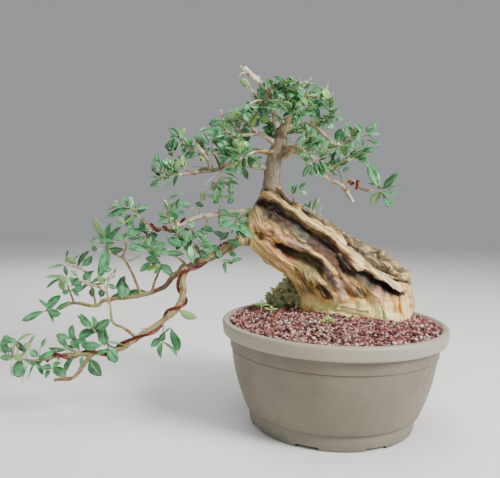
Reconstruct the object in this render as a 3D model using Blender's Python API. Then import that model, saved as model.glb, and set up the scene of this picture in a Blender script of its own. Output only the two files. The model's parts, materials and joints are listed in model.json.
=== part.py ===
# An olive bonsai in a round plastic training pot, about 0.55 m long and 0.43 m high.
# Metres, +Z up. The pot stands on z = 0 and the tree leans and trails towards -X.
# Every route of wood is a list of points (across, down, depth): across and down are readings
# in a 500 x 478 picture of the tree, depth is millimetres behind the pot's axis.
import math
import random

import bmesh
import bpy
from mathutils import Matrix, Vector, noise
from mathutils.bvhtree import BVHTree

MM = 0.001
CLEAR = 0.0003
HOLE_CLEAR = 0.0008
WELD_DISTANCE = 0.000005

# The picture's viewpoint
VIEW_EYE = Vector((-0.104, -0.688, 0.266))
VIEW_FOCAL = 570.0
VIEW_MIDDLE = (250.0, 239.0)
VIEW_DIP = 0.068
VIEW_ROLL = 0.0242

# Pot
POT_RADIUS = 0.135
POT_HEIGHT = 0.1235
POT_WALL = 0.003
FOOT_RADIUS = 0.0945
GROOVE_TOP = 0.0208
GROOVE_RADIUS = 0.1014
WALL_TAPER = 0.0193
WALL_BOW = 0.0016
WALL_HIGH = 0.0905
NECK_FLARE = 0.17
FOOT_THICKNESS = 0.007
FLOOR_UNDERSIDE = 0.006
FLOOR_TOP = 0.0092
BAND_RADIUS = 0.1225
BAND_LOW = 0.0915
LIP_LOW = 0.1072
POT_SIDES = 30
NOTCH_COUNT = 8
NOTCH_WIDTH = 0.026
NOTCH_HEIGHT = 0.004
DRAIN_RADIUS = 0.006
DRAIN_RING = 0.055
DRAIN_COUNT = 5

# Soil
SOIL_RIM = 0.1185
SOIL_HEAP = 0.0075
SOIL_BUMP = 0.0026
BUMP_SPREAD = 0.013
SOIL_RINGS = 7

# Trunk slab: stations run from the cut upper end to the buried foot
SLAB_RINGS = 24
SLAB_SIDES = 32
SLAB_SQUARENESS = 2.6
SLAB_FADE = 14.0
SLAB_GRIP = 0.09
BARK_GRAIN = 55.0
BACK_RIDGES = 2.4 * MM
BARK_ROUGHNESS = 1.6 * MM

# Wire
WIRE_RADIUS = 1.75 * MM
WIRE_STEPS = 9

# Leaves
LEAF_WIDTH_SHARE = 0.40
LEAF_RIB = 1.25 * MM
LEAF_RINGS = ((0.40, 1.0), (0.74, 0.82))
FIRST_PAIR = 4.5 * MM
PAIR_SPACING = 17.0 * MM
TIP_SINK = 1.5 * MM
LEAF_BENDS = [(0.0, 0.0)]
LEAF_BENDS += [(tilt, turn * math.pi / 2) for tilt in (0.3, 0.6) for turn in range(4)]
OUTER_SHARE = 0.32
FAR_READING = 1e9

# Whatever has a crease steeper than this is drawn with a hard edge
CREASE = math.radians(50)

COLOURS = {
    "pot": ((0.40, 0.36, 0.31), 0.55, 0.0),
    "soil": ((0.22, 0.12, 0.11), 0.95, 0.0),
    "wood": ((0.42, 0.29, 0.15), 0.8, 0.0),
    "wire": ((0.26, 0.07, 0.04), 0.35, 0.9),
    "leaf": ((0.07, 0.17, 0.08), 0.45, 0.0),
    "moss": ((0.13, 0.16, 0.07), 0.95, 0.0),
}


def view_axes():
    ahead = Vector((0.0, math.cos(VIEW_DIP), -math.sin(VIEW_DIP)))
    right = Vector((1.0, 0.0, 0.0))
    up = right.cross(ahead)
    turned = right * math.cos(VIEW_ROLL) + up * math.sin(VIEW_ROLL)
    raised = up * math.cos(VIEW_ROLL) - right * math.sin(VIEW_ROLL)
    return turned, raised, ahead


VIEW_RIGHT, VIEW_UP, VIEW_AHEAD = view_axes()


def seen(mark):
    """The place that the picture shows at (across, down), on the plane at that depth."""
    across, down, depth = mark
    ray = VIEW_AHEAD + VIEW_RIGHT * ((across - VIEW_MIDDLE[0]) / VIEW_FOCAL)
    ray = ray - VIEW_UP * ((down - VIEW_MIDDLE[1]) / VIEW_FOCAL)
    return VIEW_EYE + ray * ((depth * MM - VIEW_EYE.y) / ray.y)


def in_picture(place):
    """The picture reading (across, down) of a place."""
    offset = place - VIEW_EYE
    reach = offset.dot(VIEW_AHEAD)
    across = VIEW_MIDDLE[0] + VIEW_FOCAL * offset.dot(VIEW_RIGHT) / reach
    down = VIEW_MIDDLE[1] - VIEW_FOCAL * offset.dot(VIEW_UP) / reach
    return across, down


# Trunk slab stations: upper edge, lower edge, half thickness in millimetres
SLAB_STATIONS = [
    ((265, 187, 25), (249, 214, 25), 15),
    ((276, 187, 25), (243, 226, 25), 21),
    ((286, 193, 26), (248, 243, 27), 24),
    ((298, 203, 26), (257, 253, 29), 26),
    ((310, 213, 26), (267, 262, 31), 28),
    ((324, 220, 26), (278, 269, 34), 30),
    ((342, 231, 26), (287, 274, 38), 33),
    ((357, 240, 26), (294, 282, 44), 36),
    ((371, 248, 26), (298, 290, 52), 39),
    ((385, 256, 26), (300, 297, 60), 42),
    ((397, 266, 25), (301, 304, 68), 44),
    ((408, 276, 24), (301, 311, 72), 46),
    ((412, 291, 22), (302, 320, 74), 46),
    ((412, 306, 22), (303, 330, 74), 45),
    ((410, 322, 22), (306, 342, 74), 42),
]

# Carving on the side seen in the picture: route, half width in readings, rise in millimetres
SLAB_CARVING = [
    ([(264, 185), (284, 197), (298, 207), (309, 215), (331, 230), (358, 256), (379, 271),
      (395, 281), (411, 287)], 3.0, -3.5),
    ([(268, 193), (284, 203), (300, 213), (322, 230), (345, 251), (372, 272), (400, 290)], 2.6, 2.5),
    ([(259, 202), (270, 204), (284, 214), (302, 225), (312, 238), (326, 243), (345, 259)], 6.0, -9.0),
    ([(366, 275), (383, 287), (398, 297)], 5.0, -7.0),
    ([(266, 216), (275, 219)], 6.0, -6.0),
    ([(250, 224), (260, 226), (271, 230), (284, 239), (302, 247), (312, 252), (323, 259),
      (333, 273), (340, 288), (343, 298)], 4.2, 6.0),
    ([(278, 245), (295, 256), (312, 263), (322, 272)], 5.0, -8.0),
    ([(252, 242), (274, 254), (298, 267), (309, 280)], 4.5, 3.5),
    ([(261, 236), (261, 238)], 4.5, -6.0),
    ([(317, 280), (326, 290), (335, 299)], 7.0, 5.5),
    ([(322, 287), (330, 295)], 3.6, -8.0),
    ([(350, 276), (362, 292), (372, 312)], 5.0, -5.0),
    ([(362, 280), (380, 300), (388, 318)], 4.0, 3.0),
    ([(392, 292), (398, 306), (402, 318)], 4.0, -4.0),
]

# Bare wood: name, route, thickness in millimetres at its two ends, sides
STEMS = [
    ("live_stem", [(268, 208, 26), (271, 184, 26), (274, 160, 25), (280, 144, 25), (281, 131, 25)],
     (24, 21.5, 18.5, 18, 11), 8),
    ("stem_front_top", [(281, 138, 25), (287, 124, 22), (290, 112, 18), (292, 100, 14)], (7.5, 4), 6),
    ("stem_back_top", [(282, 134, 26), (294, 112, 32), (304, 99, 38), (316, 97, 42)], (7, 3.4), 6),
    ("apex", [(281, 138, 26), (275, 117, 30), (270, 102, 30), (266, 90, 28), (244, 68, 26)],
     (8, 6.5, 6, 6, 5), 6),
    ("apex_stub", [(263, 87, 28), (260, 81, 28), (259, 75, 27)], (3, 2.2), 4),
    ("left_low", [(273, 168, 25), (251, 166, 18), (231, 164, 10), (214, 170, 6), (198, 172, 2),
                  (184, 174, -1)], (8, 6, 5.4, 4.6, 4, 3.4), 6),
    ("left_low_stub", [(211, 169, 6), (208, 160, 4), (194, 141, 2)], (5, 4.2), 4),
    ("left_twist", [(214, 170, 6), (203, 168, 9), (195, 174, 6), (189, 172, 2)],
     (3, 2.4), 4),
    ("left_mid", [(276, 144, 24), (263, 135, 18), (258, 134, 14), (246, 135, 10), (236, 136, 6)],
     (6, 3.2), 6),
    ("left_mid_stub", [(237, 136, 7), (227, 127, 8), (223, 120, 9), (221, 110, 10)], (2.8, 2.4), 4),
    ("left_back", [(276, 156, 28), (260, 151, 46), (246, 149, 60)], (6, 4.4), 6),
    ("back", [(280, 150, 30), (283, 142, 50)], (6, 4.4), 6),
    ("right_low", [(282, 160, 24), (298, 152, 20), (316, 172, 22), (339, 184, 24), (345, 189, 22),
                   (353, 202, 20)], (7, 6, 5.6, 5.2, 4.6, 4.2), 6),
    ("right_mid", [(284, 130, 24), (300, 124, 20), (314, 126, 22), (333, 144, 24)], (6, 4), 6),
    ("right_fork", [(322, 176, 22), (333, 167, 18), (345, 160, 15)], (3.6, 2.6), 4),
    ("right_end", [(340, 184, 24), (353, 181, 24), (360, 188, 22), (368, 191, 20)], (4, 3), 4),
    ("right_back", [(283, 152, 30), (294, 149, 43), (304, 147, 54)], (6, 4.4), 6),
    ("right_front", [(284, 148, 20), (296, 147, -8), (304, 151, -26)], (4.6, 3), 4),
    ("left_front", [(274, 152, 20), (263, 151, -4), (255, 152, -16)], (4.4, 3), 4),
    ("dry_shoot_a", [(314, 216, 20), (315, 208, 18), (319, 199, 17)], (2.2, 1.4), 4),
    ("dry_shoot_b", [(314, 217, 20), (320, 211, 17), (323, 206, 16)], (2.0, 1.4), 4),
    ("upper_branch", [(254, 212, 24), (236, 212, 20), (215, 215, 15), (200, 217, 11), (191, 220, 8),
                      (179, 226, 4), (167, 230, 0), (159, 228, -2), (150, 226, -4), (143, 221, -6)],
     (8, 6, 5.4, 5, 4.6, 4.2, 3.8, 3.4, 3, 2.8), 6),
    ("upper_stub", [(178, 226, 4), (173, 216, 3), (164, 200, 2)], (4.4, 3.6), 4),
    ("upper_dry_a", [(219, 214, 16), (220, 206, 14), (219, 199, 12)], (2.6, 2), 4),
    ("upper_dry_b", [(220, 202, 13), (223, 192, 16), (228, 184, 18)], (1.8, 1.4), 4),
    ("upper_dry_c", [(201, 217, 11), (200, 205, 10), (202, 196, 9), (207, 190, 8)], (2.2, 1.6), 4),
    ("upper_peg_a", [(208, 216, 13), (207, 222, 12), (205, 228, 11)], (2.2, 1.6), 4),
    ("upper_peg_b", [(219, 215, 16), (220, 226, 15), (228, 223, 14)], (2.2, 1.6), 4),
    ("cascade", [(258, 232, 24), (243, 238, 16), (228, 248, 10), (213, 256, 5), (199, 261, 1),
                 (190, 267, -1), (183, 270, -2)], (12, 10.5, 9.6, 9, 8.6, 8.8, 9.5), 8),
    ("branch_down", [(184, 268, -2), (182, 277, -4), (183, 290, -8), (182, 300, -11), (174, 311, -15),
                     (160, 323, -20), (143, 334, -25), (123, 347, -30), (111, 350, -33),
                     (89, 354, -37), (64, 355, -40), (42, 360, -41)],
     (8.6, 7.6, 7.2, 7, 6.8, 6.4, 6, 5.6, 5.2, 4.6, 3.8, 3), 8),
    ("branch_left", [(184, 270, -2), (174, 276, 3), (166, 285, 7), (153, 292, 11), (131, 297, 15),
                     (105, 300, 18), (96, 306, 18), (73, 303, 16), (60, 309, 14)],
     (6, 5.6, 5, 4.6, 4.2, 3.8, 3.6, 3, 2.6), 6),
    ("hook", [(92, 354, -37), (82, 367, -38), (78, 373, -38), (72, 378, -38), (64, 379, -38),
              (54, 380, -38)], (4.4, 3.8), 4),
    ("left_peg", [(141, 295, 14), (132, 273, 10), (122, 255, 6)], (3.6, 3), 4),
    ("left_peg_tip", [(123, 256, 6), (126, 247, 5), (125, 241, 4)], (2.4, 2), 4),
    ("left_peg_side", [(124, 262, 7), (133, 259, 10), (140, 256, 12)], (1.8, 1.4), 4),
    ("left_riser", [(152, 292, 11), (155, 281, 8), (162, 265, 4)], (3.4, 2.6), 4),
    ("fork_stem", [(137, 338, -26), (124, 328, -22), (113, 322, -18), (110, 305, -13),
                   (106, 290, -9)], (3.8, 2.6), 4),
    ("dead_twig", [(160, 323, -20), (150, 327, -24), (140, 328, -28)], (2.8, 2), 4),
    ("rise_a", [(74, 303, 16), (70, 292, 14), (67, 284, 12)], (2.6, 2), 4),
    ("rise_b", [(96, 305, 18), (92, 288, 22), (86, 272, 24)], (2.8, 2.6), 4),
    ("mid_riser", [(205, 258, 2), (199, 251, -4), (192, 245, -8)], (3, 2.2), 4),
    ("mid_twig", [(188, 267, -1), (180, 259, -8), (168, 252, -12), (158, 250, -14)], (3, 2), 4),
]

# Training wires: name, route with the wood's thickness in millimetres and the number of turns
# made so far as a fourth and fifth value. At a quarter turn the wire is behind the branch.
WIRES = [
    ("wire_cascade", [(234, 244, 12, 11, -0.15), (213, 256, 5, 9.4, 0.25), (199, 261, 1, 9.4, 0.5),
                      (190, 265.5, -1, 12, 0.66), (184, 270, -2, 13.4, 0.75), (182, 279, -4, 10, 0.87),
                      (183, 290, -8, 8, 1.1), (182, 300, -11, 7.6, 1.5), (174, 311, -15, 7.4, 1.9),
                      (160, 323, -20, 7, 2.35), (143, 334, -25, 6.4, 2.72), (123, 347, -30, 6, 3.02),
                      (111, 350, -33, 5.6, 3.42), (89, 354, -37, 5, 4.02), (64, 355, -40, 4.2, 4.7),
                      (45, 359.6, -41, 3.6, 5.4)]),
    ("wire_upper", [(187, 221.6, 7, 5.2, 0.0), (179, 226, 4, 4.8, 0.32), (167, 230, 0, 4.4, 0.78),
                    (159, 228, -2, 4, 1.45), (150, 226, -4, 3.8, 1.9)]),
    ("wire_right", [(349, 181.6, 24, 3.8, 0.2), (354, 182, 23.6, 3.8, 0.75), (359, 187, 22.2, 3.6, 1.5)]),
]

# Creeping clump at the trunk's foot, seedling in the grit
MOSS_MIDDLE = (285, 291, 78)
MOSS_HALF = (0.020, 0.017, 0.021)
MOSS_LEAVES = 14
MOSS_LUMPS = 2.3
MOSS_LEAF_SINK = 0.003
SEEDLING = (-0.088, 0.030, 0.012)

# Rounded burrs on the wood: middle and radius in millimetres
BURRS = [
    ((247, 239, 18), 8.5),
    ((240, 241, 12), 6.5),
    ((184, 269, -2), 6.2),
    ((281, 132, 25), 7.0),
    ((346, 190, 22), 3.4),
]

LARGE_BURR = 6.8

# The root on the grit: east, north and rise above the soil, and thickness, in millimetres
SURFACE_ROOT = [(-8, 84, 2.0, 7.0), (-28, 80, 1.4, 5.5), (-46, 66, 0.8, 4.6), (-58, 46, 0.6, 4.2),
                (-66, 20, 0.2, 3.8), (-71, -6, -1.6, 3.4), (-72, -14, -5.0, 3.0)]

# Leafy twigs: name, routes (the first from the wood, the others from the first), thickness in
# millimetres at both ends, bare length in millimetres that belongs to the wood, leaf length
TWIGS = [
    ("crown_01", [[(292, 101, 14), (288, 90, 10), (284, 80, 6)],
                  [(290, 95, 12), (298, 91, 2), (301, 82, -8)]], (3.6, 1.6), 3, 17),
    ("crown_02", [[(304, 99, 38), (309, 90, 40), (305, 80, 42)]], (3.2, 1.6), 5, 18),
    ("crown_03", [[(270, 104, 30), (260, 100, 16), (249, 104, 6)]], (3.2, 1.6), 7, 18),
    ("crown_04", [[(273, 112, 30), (259, 115, 40), (246, 119, 50)]], (3.2, 1.6), 7, 18),
    ("crown_05", [[(268, 96, 29), (262, 96, 48), (254, 92, 66)]], (3.0, 1.6), 7, 17),
    ("crown_06", [[(290, 113, 18), (286, 109, -4), (280, 104, -22)],
                  [(288, 111, 4), (299, 112, -10), (306, 112, -24)]], (3.2, 1.6), 6, 18),
    ("crown_08", [[(294, 113, 32), (290, 106, 58), (284, 100, 78)]], (3.2, 1.6), 7, 18),
    ("crown_09", [[(303, 101, 38), (313, 104, 60), (322, 107, 78)]], (3.2, 1.6), 7, 18),
    ("crown_10", [[(315, 97, 42), (325, 101, 38), (334, 105, 34)],
                  [(320, 99, 40), (323, 92, 30), (328, 88, 22)]], (2.8, 1.4), 3, 15),
    ("crown_13", [[(266, 92, 28), (275, 88, 20), (281, 80, 14)]], (2.8, 1.4), 6, 17),
    ("left_mid_01", [[(237, 136, 6), (225, 131, 2), (213, 128, -2)]], (3.0, 1.4), 3, 16),
    ("left_mid_02", [[(257, 134, 14), (250, 125, 4), (243, 116, -4)]], (2.8, 1.4), 6, 17),
    ("left_mid_03", [[(246, 135, 10), (238, 128, 28), (231, 122, 42)]], (2.6, 1.4), 6, 16),
    ("left_low_01", [[(185, 174, -1), (172, 175, -4), (159, 180, -8)]], (3.2, 1.4), 3, 17),
    ("left_low_02", [[(246, 165, 16), (245, 156, 12), (239, 143, 8)]], (2.8, 1.4), 8, 17),
    ("left_low_03", [[(230, 164, 10), (233, 156, -2), (236, 147, -10)]], (2.6, 1.4), 7, 17),
    ("left_low_04", [[(221, 167, 8), (215, 155, 12), (199, 151, 14), (188, 150, 14), (180, 139, 14)]],
     (2.8, 1.4), 22, 16),
    ("left_low_05", [[(222, 167, 8), (220, 175, -4), (216, 181, -14)]], (2.4, 1.4), 7, 16),
    ("left_low_06", [[(190, 173, 1), (180, 164, 6), (172, 156, 10)]], (2.4, 1.4), 6, 15),
    ("left_back_01", [[(246, 149, 60), (233, 148, 74), (220, 150, 84), (200, 154, 98)],
                      [(234, 148, 73), (231, 138, 76), (228, 126, 80)],
                      [(239, 148, 68), (243, 158, 72), (243, 168, 78)]], (4.2, 1.5), 4, 17),
    ("back_01", [[(283, 142, 50), (288, 132, 80), (295, 121, 108)],
                 [(285, 137, 64), (277, 130, 74), (268, 124, 84)]], (4.2, 1.5), 4, 17),
    ("right_mid_01", [[(333, 144, 24), (342, 145, 24), (349, 138, 22), (358, 136, 18), (368, 133, 14)],
                      [(339, 145, 24), (340, 137, 34), (344, 130, 44)]], (3.8, 1.4), 4, 18),
    ("right_mid_02", [[(314, 126, 22), (322, 118, 12), (331, 115, 4)]], (2.8, 1.4), 6, 16),
    ("right_mid_04", [[(304, 125, 21), (309, 136, 4), (316, 143, -8)]], (2.6, 1.4), 7, 16),
    ("right_fork_01", [[(344, 160, 15), (354, 156, 10), (363, 151, 6)]], (2.6, 1.4), 3, 17),
    ("right_low_01", [[(328, 178, 23), (334, 170, 34), (341, 164, 42)]], (2.4, 1.4), 6, 16),
    ("right_end_01", [[(367, 191, 20), (376, 189, 16), (387, 188, 12)]], (2.8, 1.4), 3, 19),
    ("right_back_01", [[(304, 147, 54), (322, 149, 76), (346, 148, 94)],
                       [(312, 148, 66), (315, 138, 72), (318, 128, 80)]], (4.2, 1.5), 4, 17),
    ("right_front_01", [[(303, 151, -24), (311, 156, -40), (320, 161, -50)]], (2.8, 1.4), 4, 17),
    ("left_front_01", [[(256, 151, -14), (247, 155, -30), (238, 160, -40)]], (2.8, 1.4), 4, 16),
    ("bark_shoot", [[(294, 204, 18), (293, 195, 6), (300, 189, 0)]], (2.2, 1.3), 12, 15),
    ("upper_01", [[(144, 221, -6), (136, 214, -8), (130, 207, -10)]], (2.6, 1.3), 3, 17),
    ("upper_02", [[(172, 229, 2), (170, 219, -8), (168, 210, -16)]], (2.4, 1.3), 6, 15),
    ("upper_03", [[(189, 221, 7), (190, 231, 0), (186, 240, -8)]], (2.4, 1.3), 6, 16),
    ("upper_04", [[(229, 213, 18), (230, 219, 0), (236, 222, -10)]], (2.4, 1.3), 7, 14),
    ("upper_05", [[(155, 227, -3), (148, 235, 8), (140, 238, 16)]], (2.4, 1.3), 6, 15),
    ("mid_01", [[(159, 250, -14), (152, 249, -16), (146, 250, -18)]], (2.2, 1.3), 2, 15),
    ("mid_02", [[(193, 245, -8), (186, 241, -10), (182, 236, -12)]], (2.2, 1.3), 2, 15),
    ("mid_03", [[(218, 253, 7), (222, 261, -2), (232, 262, -10)]], (2.4, 1.3), 8, 14),
    ("left_peg_01", [[(124, 259, 7), (110, 251, 8), (103, 240, 8)]], (2.6, 1.3), 7, 16),
    ("left_riser_01", [[(161, 266, 4), (157, 261, 2), (150, 262, -2)]], (2.2, 1.3), 3, 14),
    ("branch_left_01", [[(61, 309, 14), (53, 311, 13), (43, 311, 12)]], (2.4, 1.3), 2, 17),
    ("branch_left_02", [[(126, 298, 16), (122, 292, 24), (124, 284, 30)]], (2.4, 1.3), 6, 16),
    ("rise_01", [[(86, 272, 24), (76, 267, 25), (64, 265, 25)],
                 [(78, 268, 25), (70, 277, 18), (60, 278, 12)]], (2.6, 1.3), 3, 15),
    ("fork_01", [[(106.3, 292, -9.4), (104, 284, -8), (94, 284, -9), (84, 282, -10), (77, 276, -12)],
                 [(104, 284, -8), (107, 279, -8), (112, 273, -7), (117, 267, -6)]], (2.6, 1.3), 5, 15),
    ("down_shoot", [[(163, 322, -19), (163, 333, -24), (162, 344, -28)]], (2.6, 1.3), 8, 17),
    ("down_01", [[(115, 350, -32), (104, 341, -38), (94, 331, -42)]], (2.6, 1.3), 6, 18),
    ("down_02", [[(76, 355, -39), (74, 346, -46), (70, 338, -52)]], (2.4, 1.3), 6, 17),
    ("down_03", [[(43, 360, -41), (28, 360, -40), (14, 357, -38), (2, 352, -36)]], (2.6, 1.3), 4, 17),
    ("down_04", [[(60, 356, -40), (54, 366, -46), (50, 372, -52)]], (2.4, 1.3), 6, 16),
]

# Leaves read one by one: root, tip and width, all picture readings
LEAF_MARKS = [
    (271, 117, 263, 101, 8), (273, 95, 272, 82, 7), (158, 181, 152, 163, 5), (211, 166, 192, 164, 6),
    (215, 165, 215, 153, 5), (237, 150, 218, 165, 8), (217, 172, 202, 185, 6), (224, 170, 240, 179, 6),
    (341, 142, 339, 128, 9), (361, 134, 355, 122, 10), (368, 133, 376, 122, 8), (368, 134, 378, 143, 7),
    (343, 157, 363, 150, 6), (339, 168, 341, 163, 8), (379, 188, 369, 163, 9), (383, 187, 398, 172, 9),
    (386, 188, 405, 198, 4), (380, 189, 389, 207, 5), (384, 188, 366, 182, 5), (378, 188, 404, 184, 5),
    (293, 196, 290, 181, 8), (298, 191, 308, 195, 6), (303, 190, 306, 182, 5),
    (130, 209, 103, 215, 9), (134, 209, 151, 205, 8), (131, 210, 131, 196, 7), (138, 216, 126, 222, 7),
    (232, 219, 218, 219, 6), (236, 221, 251, 208, 7), (236, 222, 255, 237, 10),
    (222, 259, 208, 257, 7), (226, 261, 225, 274, 6), (231, 262, 243, 258, 6),
    (188, 243, 184, 232, 6), (190, 243, 194, 263, 8), (184, 240, 174, 242, 6), (186, 240, 205, 238, 7),
    (151, 249, 139, 237, 7), (148, 250, 134, 248, 7), (150, 250, 150, 236, 6), (153, 249, 168, 243, 8),
    (160, 265, 173, 276, 8), (158, 263, 146, 270, 6), (152, 262, 139, 271, 6), (156, 261, 157, 250, 6),
    (105, 240, 94, 217, 9), (107, 244, 109, 222, 7), (108, 247, 120, 225, 7), (106, 244, 90, 240, 6),
    (112, 252, 127, 249, 7), (106, 246, 99, 278, 9), (104, 242, 99, 234, 6),
    (67, 265, 67, 250, 7), (67, 266, 79, 254, 6), (66, 265, 47, 267, 7), (78, 266, 88, 250, 6),
    (62, 278, 63, 291, 6), (61, 278, 44, 275, 7), (65, 277, 44, 287, 7), (70, 277, 82, 288, 6),
    (85, 282, 93, 270, 6), (90, 284, 105, 278, 6), (80, 279, 70, 284, 6),
    (124, 292, 123, 276, 13), (124, 297, 149, 292, 7), (122, 294, 106, 302, 8),
    (46, 311, 60, 295, 7), (50, 311, 40, 299, 6), (43, 311, 21, 320, 7), (48, 311, 54, 322, 6),
    (93, 331, 79, 314, 7), (95, 332, 110, 320, 7), (96, 333, 78, 336, 9), (103, 340, 102, 324, 10),
    (104, 341, 126, 344, 7), (107, 344, 116, 363, 9), (92, 330, 93, 316, 6),
    (71, 340, 72, 325, 8), (70, 339, 55, 334, 6), (73, 344, 86, 340, 6),
    (54, 367, 66, 376, 8), (51, 371, 44, 377, 6), (52, 369, 40, 366, 7), (52, 368, 61, 362, 6),
    (30, 360, 48, 338, 4), (28, 360, 20, 381, 6), (22, 359, 33, 332, 5), (20, 358, 13, 377, 9),
    (14, 357, 15, 342, 5), (6, 354, 4, 337, 6), (10, 356, -12, 362, 7), (3, 352, -14, 346, 7),
    (36, 360, 55, 350, 6), (34, 361, 44, 374, 7),
    (162, 343, 178, 355, 10), (163, 335, 170, 327, 7), (162, 338, 150, 346, 7), (162, 344, 160, 358, 6),
]


def remove_everything():
    for thing in list(bpy.data.objects):
        bpy.data.objects.remove(thing, do_unlink=True)


def finish_material(slot):
    """The plain surface that the pieces of one stuff share."""
    material = bpy.data.materials.get(slot) or bpy.data.materials.new(slot)
    colour, roughness, metallic = COLOURS[slot]
    material.use_nodes = True
    shader = material.node_tree.nodes["Principled BSDF"]
    shader.inputs["Base Color"].default_value = (*colour, 1.0)
    shader.inputs["Roughness"].default_value = roughness
    shader.inputs["Metallic"].default_value = metallic
    return material


def add_piece(name, mesh, slot=None):
    piece = bpy.data.objects.new(name, mesh)
    bpy.context.scene.collection.objects.link(piece)
    if slot:
        mesh.materials.clear()
        mesh.materials.append(finish_material(slot))
    return piece


def mesh_from(work, name):
    """Turn a bmesh into a mesh, with its faces looking out."""
    mesh = bpy.data.meshes.new(name)
    if work.calc_volume(signed=True) < 0:
        bmesh.ops.reverse_faces(work, faces=work.faces)
    work.normal_update()
    work.to_mesh(mesh)
    work.free()
    return mesh


def evaluated_mesh(piece):
    """The mesh that the piece and its modifiers give, with coincident points welded."""
    bpy.context.view_layer.update()
    ready = piece.evaluated_get(bpy.context.evaluated_depsgraph_get())
    mesh = bpy.data.meshes.new_from_object(ready)
    work = bmesh.new()
    work.from_mesh(mesh)
    bmesh.ops.remove_doubles(work, verts=work.verts, dist=WELD_DISTANCE)
    closed = all(len(edge.link_faces) == 2 for edge in work.edges)
    work.to_mesh(mesh)
    work.free()
    return mesh, closed


def settle(piece):
    """Apply the piece's modifiers, and swap a curve for the mesh it draws."""
    mesh = evaluated_mesh(piece)[0]
    name = piece.name
    bpy.data.objects.remove(piece, do_unlink=True)
    return add_piece(name, mesh)


def combine(piece, others, operation="UNION"):
    """Join the others to the piece, or cut them out of it, in one Boolean."""
    group = bpy.data.collections.new(piece.name + "_others")
    bpy.context.scene.collection.children.link(group)
    for other in others:
        bpy.context.scene.collection.objects.unlink(other)
        group.objects.link(other)
        other.hide_render = True
        other.display_type = "WIRE"
    cut = piece.modifiers.new("combine", "BOOLEAN")
    cut.operation = operation
    cut.operand_type = "COLLECTION"
    cut.collection = group
    for solver in ("EXACT", "MANIFOLD"):
        cut.solver = solver
        mesh, closed = evaluated_mesh(piece)
        if closed:
            break
    name = piece.name
    for other in others + [piece]:
        bpy.data.objects.remove(other, do_unlink=True)
    bpy.data.collections.remove(group)
    return add_piece(name, mesh)


def finish_piece(piece, slot):
    """Keep the one large body, split its faces into triangles and give it its surface."""
    work = bmesh.new()
    work.from_mesh(piece.data)
    drop_scraps(work)
    work.to_mesh(piece.data)
    for method in ("BEAUTY", "EAR_CLIP"):
        bmesh.ops.triangulate(work, faces=work.faces, ngon_method=method)
        if all(len(edge.link_faces) == 2 for edge in work.edges):
            break
        work.clear()
        work.from_mesh(piece.data)
    work.to_mesh(piece.data)
    work.free()
    piece.data.materials.clear()
    piece.data.materials.append(finish_material(slot))
    for face in piece.data.polygons:
        face.material_index = 0
    piece.data.shade_smooth()
    piece.data.set_sharp_from_angle(angle=CREASE)


def drop_scraps(work):
    """Remove every body but the one with the most faces."""
    left = set(work.faces)
    bodies = []
    while left:
        body = set()
        front = [next(iter(left))]
        while front:
            face = front.pop()
            if face in body:
                continue
            body.add(face)
            for edge in face.edges:
                front.extend(near for near in edge.link_faces if near not in body)
        left -= body
        bodies.append(body)
    bodies.sort(key=len)
    for body in bodies[:-1]:
        bmesh.ops.delete(work, geom=list(body), context="FACES")


def swell(piece, distance):
    """A copy of the piece with its surface moved out along its normals."""
    work = bmesh.new()
    work.from_mesh(piece.data)
    work.normal_update()
    pushes = [(vert, vert.normal * distance) for vert in work.verts]
    for vert, push in pushes:
        vert.co += push
    return add_piece(piece.name + "_swollen", mesh_from(work, piece.name + "_swollen"))


def smooth_route(places, sizes, steps):
    """A smooth curve through the places, with the sizes eased along it."""
    sizes = spread_sizes(sizes, len(places))
    padded = [places[0] * 2 - places[1]] + places + [places[-1] * 2 - places[-2]]
    route = []
    for span in range(len(places) - 1):
        before, here, there, after = padded[span:span + 4]
        for step in range(steps):
            t = step / steps
            place = 0.5 * (2 * here + (there - before) * t
                           + (2 * before - 5 * here + 4 * there - after) * t * t
                           + (3 * here - before - 3 * there + after) * t ** 3)
            route.append((place, sizes[span] + (sizes[span + 1] - sizes[span]) * t))
    route.append((places[-1], sizes[-1]))
    return route


def spread_sizes(sizes, count):
    """One size for each place, in even steps where only the two ends are given."""
    if len(sizes) == count:
        return list(sizes)
    first, last = sizes[0], sizes[-1]
    return [first + (last - first) * index / (count - 1) for index in range(count)]


def tube(name, route, sides):
    """A round stem along a route of (place, thickness), with flat ends."""
    curve = bpy.data.curves.new(name, "CURVE")
    curve.dimensions = "3D"
    curve.bevel_depth = 1.0
    curve.bevel_resolution = max(0, (sides - 4) // 2)
    curve.render_resolution_u = 0
    curve.use_fill_caps = True
    spline = curve.splines.new("POLY")
    spline.points.add(len(route) - 1)
    for point, (place, thickness) in zip(spline.points, route):
        point.co = (*place, 1.0)
        point.radius = thickness / 2
    return face_out(settle(add_piece(name, curve)))


def face_out(piece):
    """Turn the piece's faces outwards."""
    work = bmesh.new()
    work.from_mesh(piece.data)
    bmesh.ops.recalc_face_normals(work, faces=work.faces)
    if work.calc_volume(signed=True) < 0:
        bmesh.ops.reverse_faces(work, faces=work.faces)
    work.to_mesh(piece.data)
    work.free()
    return piece


def shell_from_profile(name, profile, sides):
    """Turn a closed or axis-to-axis outline of (radius, height) about the Z axis."""
    work = bmesh.new()
    verts = [work.verts.new((radius, 0.0, height)) for radius, height in profile]
    edges = [work.edges.new(pair) for pair in zip(verts, verts[1:])]
    if profile[0][0] > 0.0:
        edges.append(work.edges.new((verts[-1], verts[0])))
    bmesh.ops.spin(work, geom=verts + edges, axis=(0, 0, 1), cent=(0, 0, 0),
                   angle=math.tau, steps=sides, use_merge=True)
    bmesh.ops.remove_doubles(work, verts=work.verts, dist=WELD_DISTANCE)
    bmesh.ops.recalc_face_normals(work, faces=work.faces)
    return add_piece(name, mesh_from(work, name))


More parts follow.
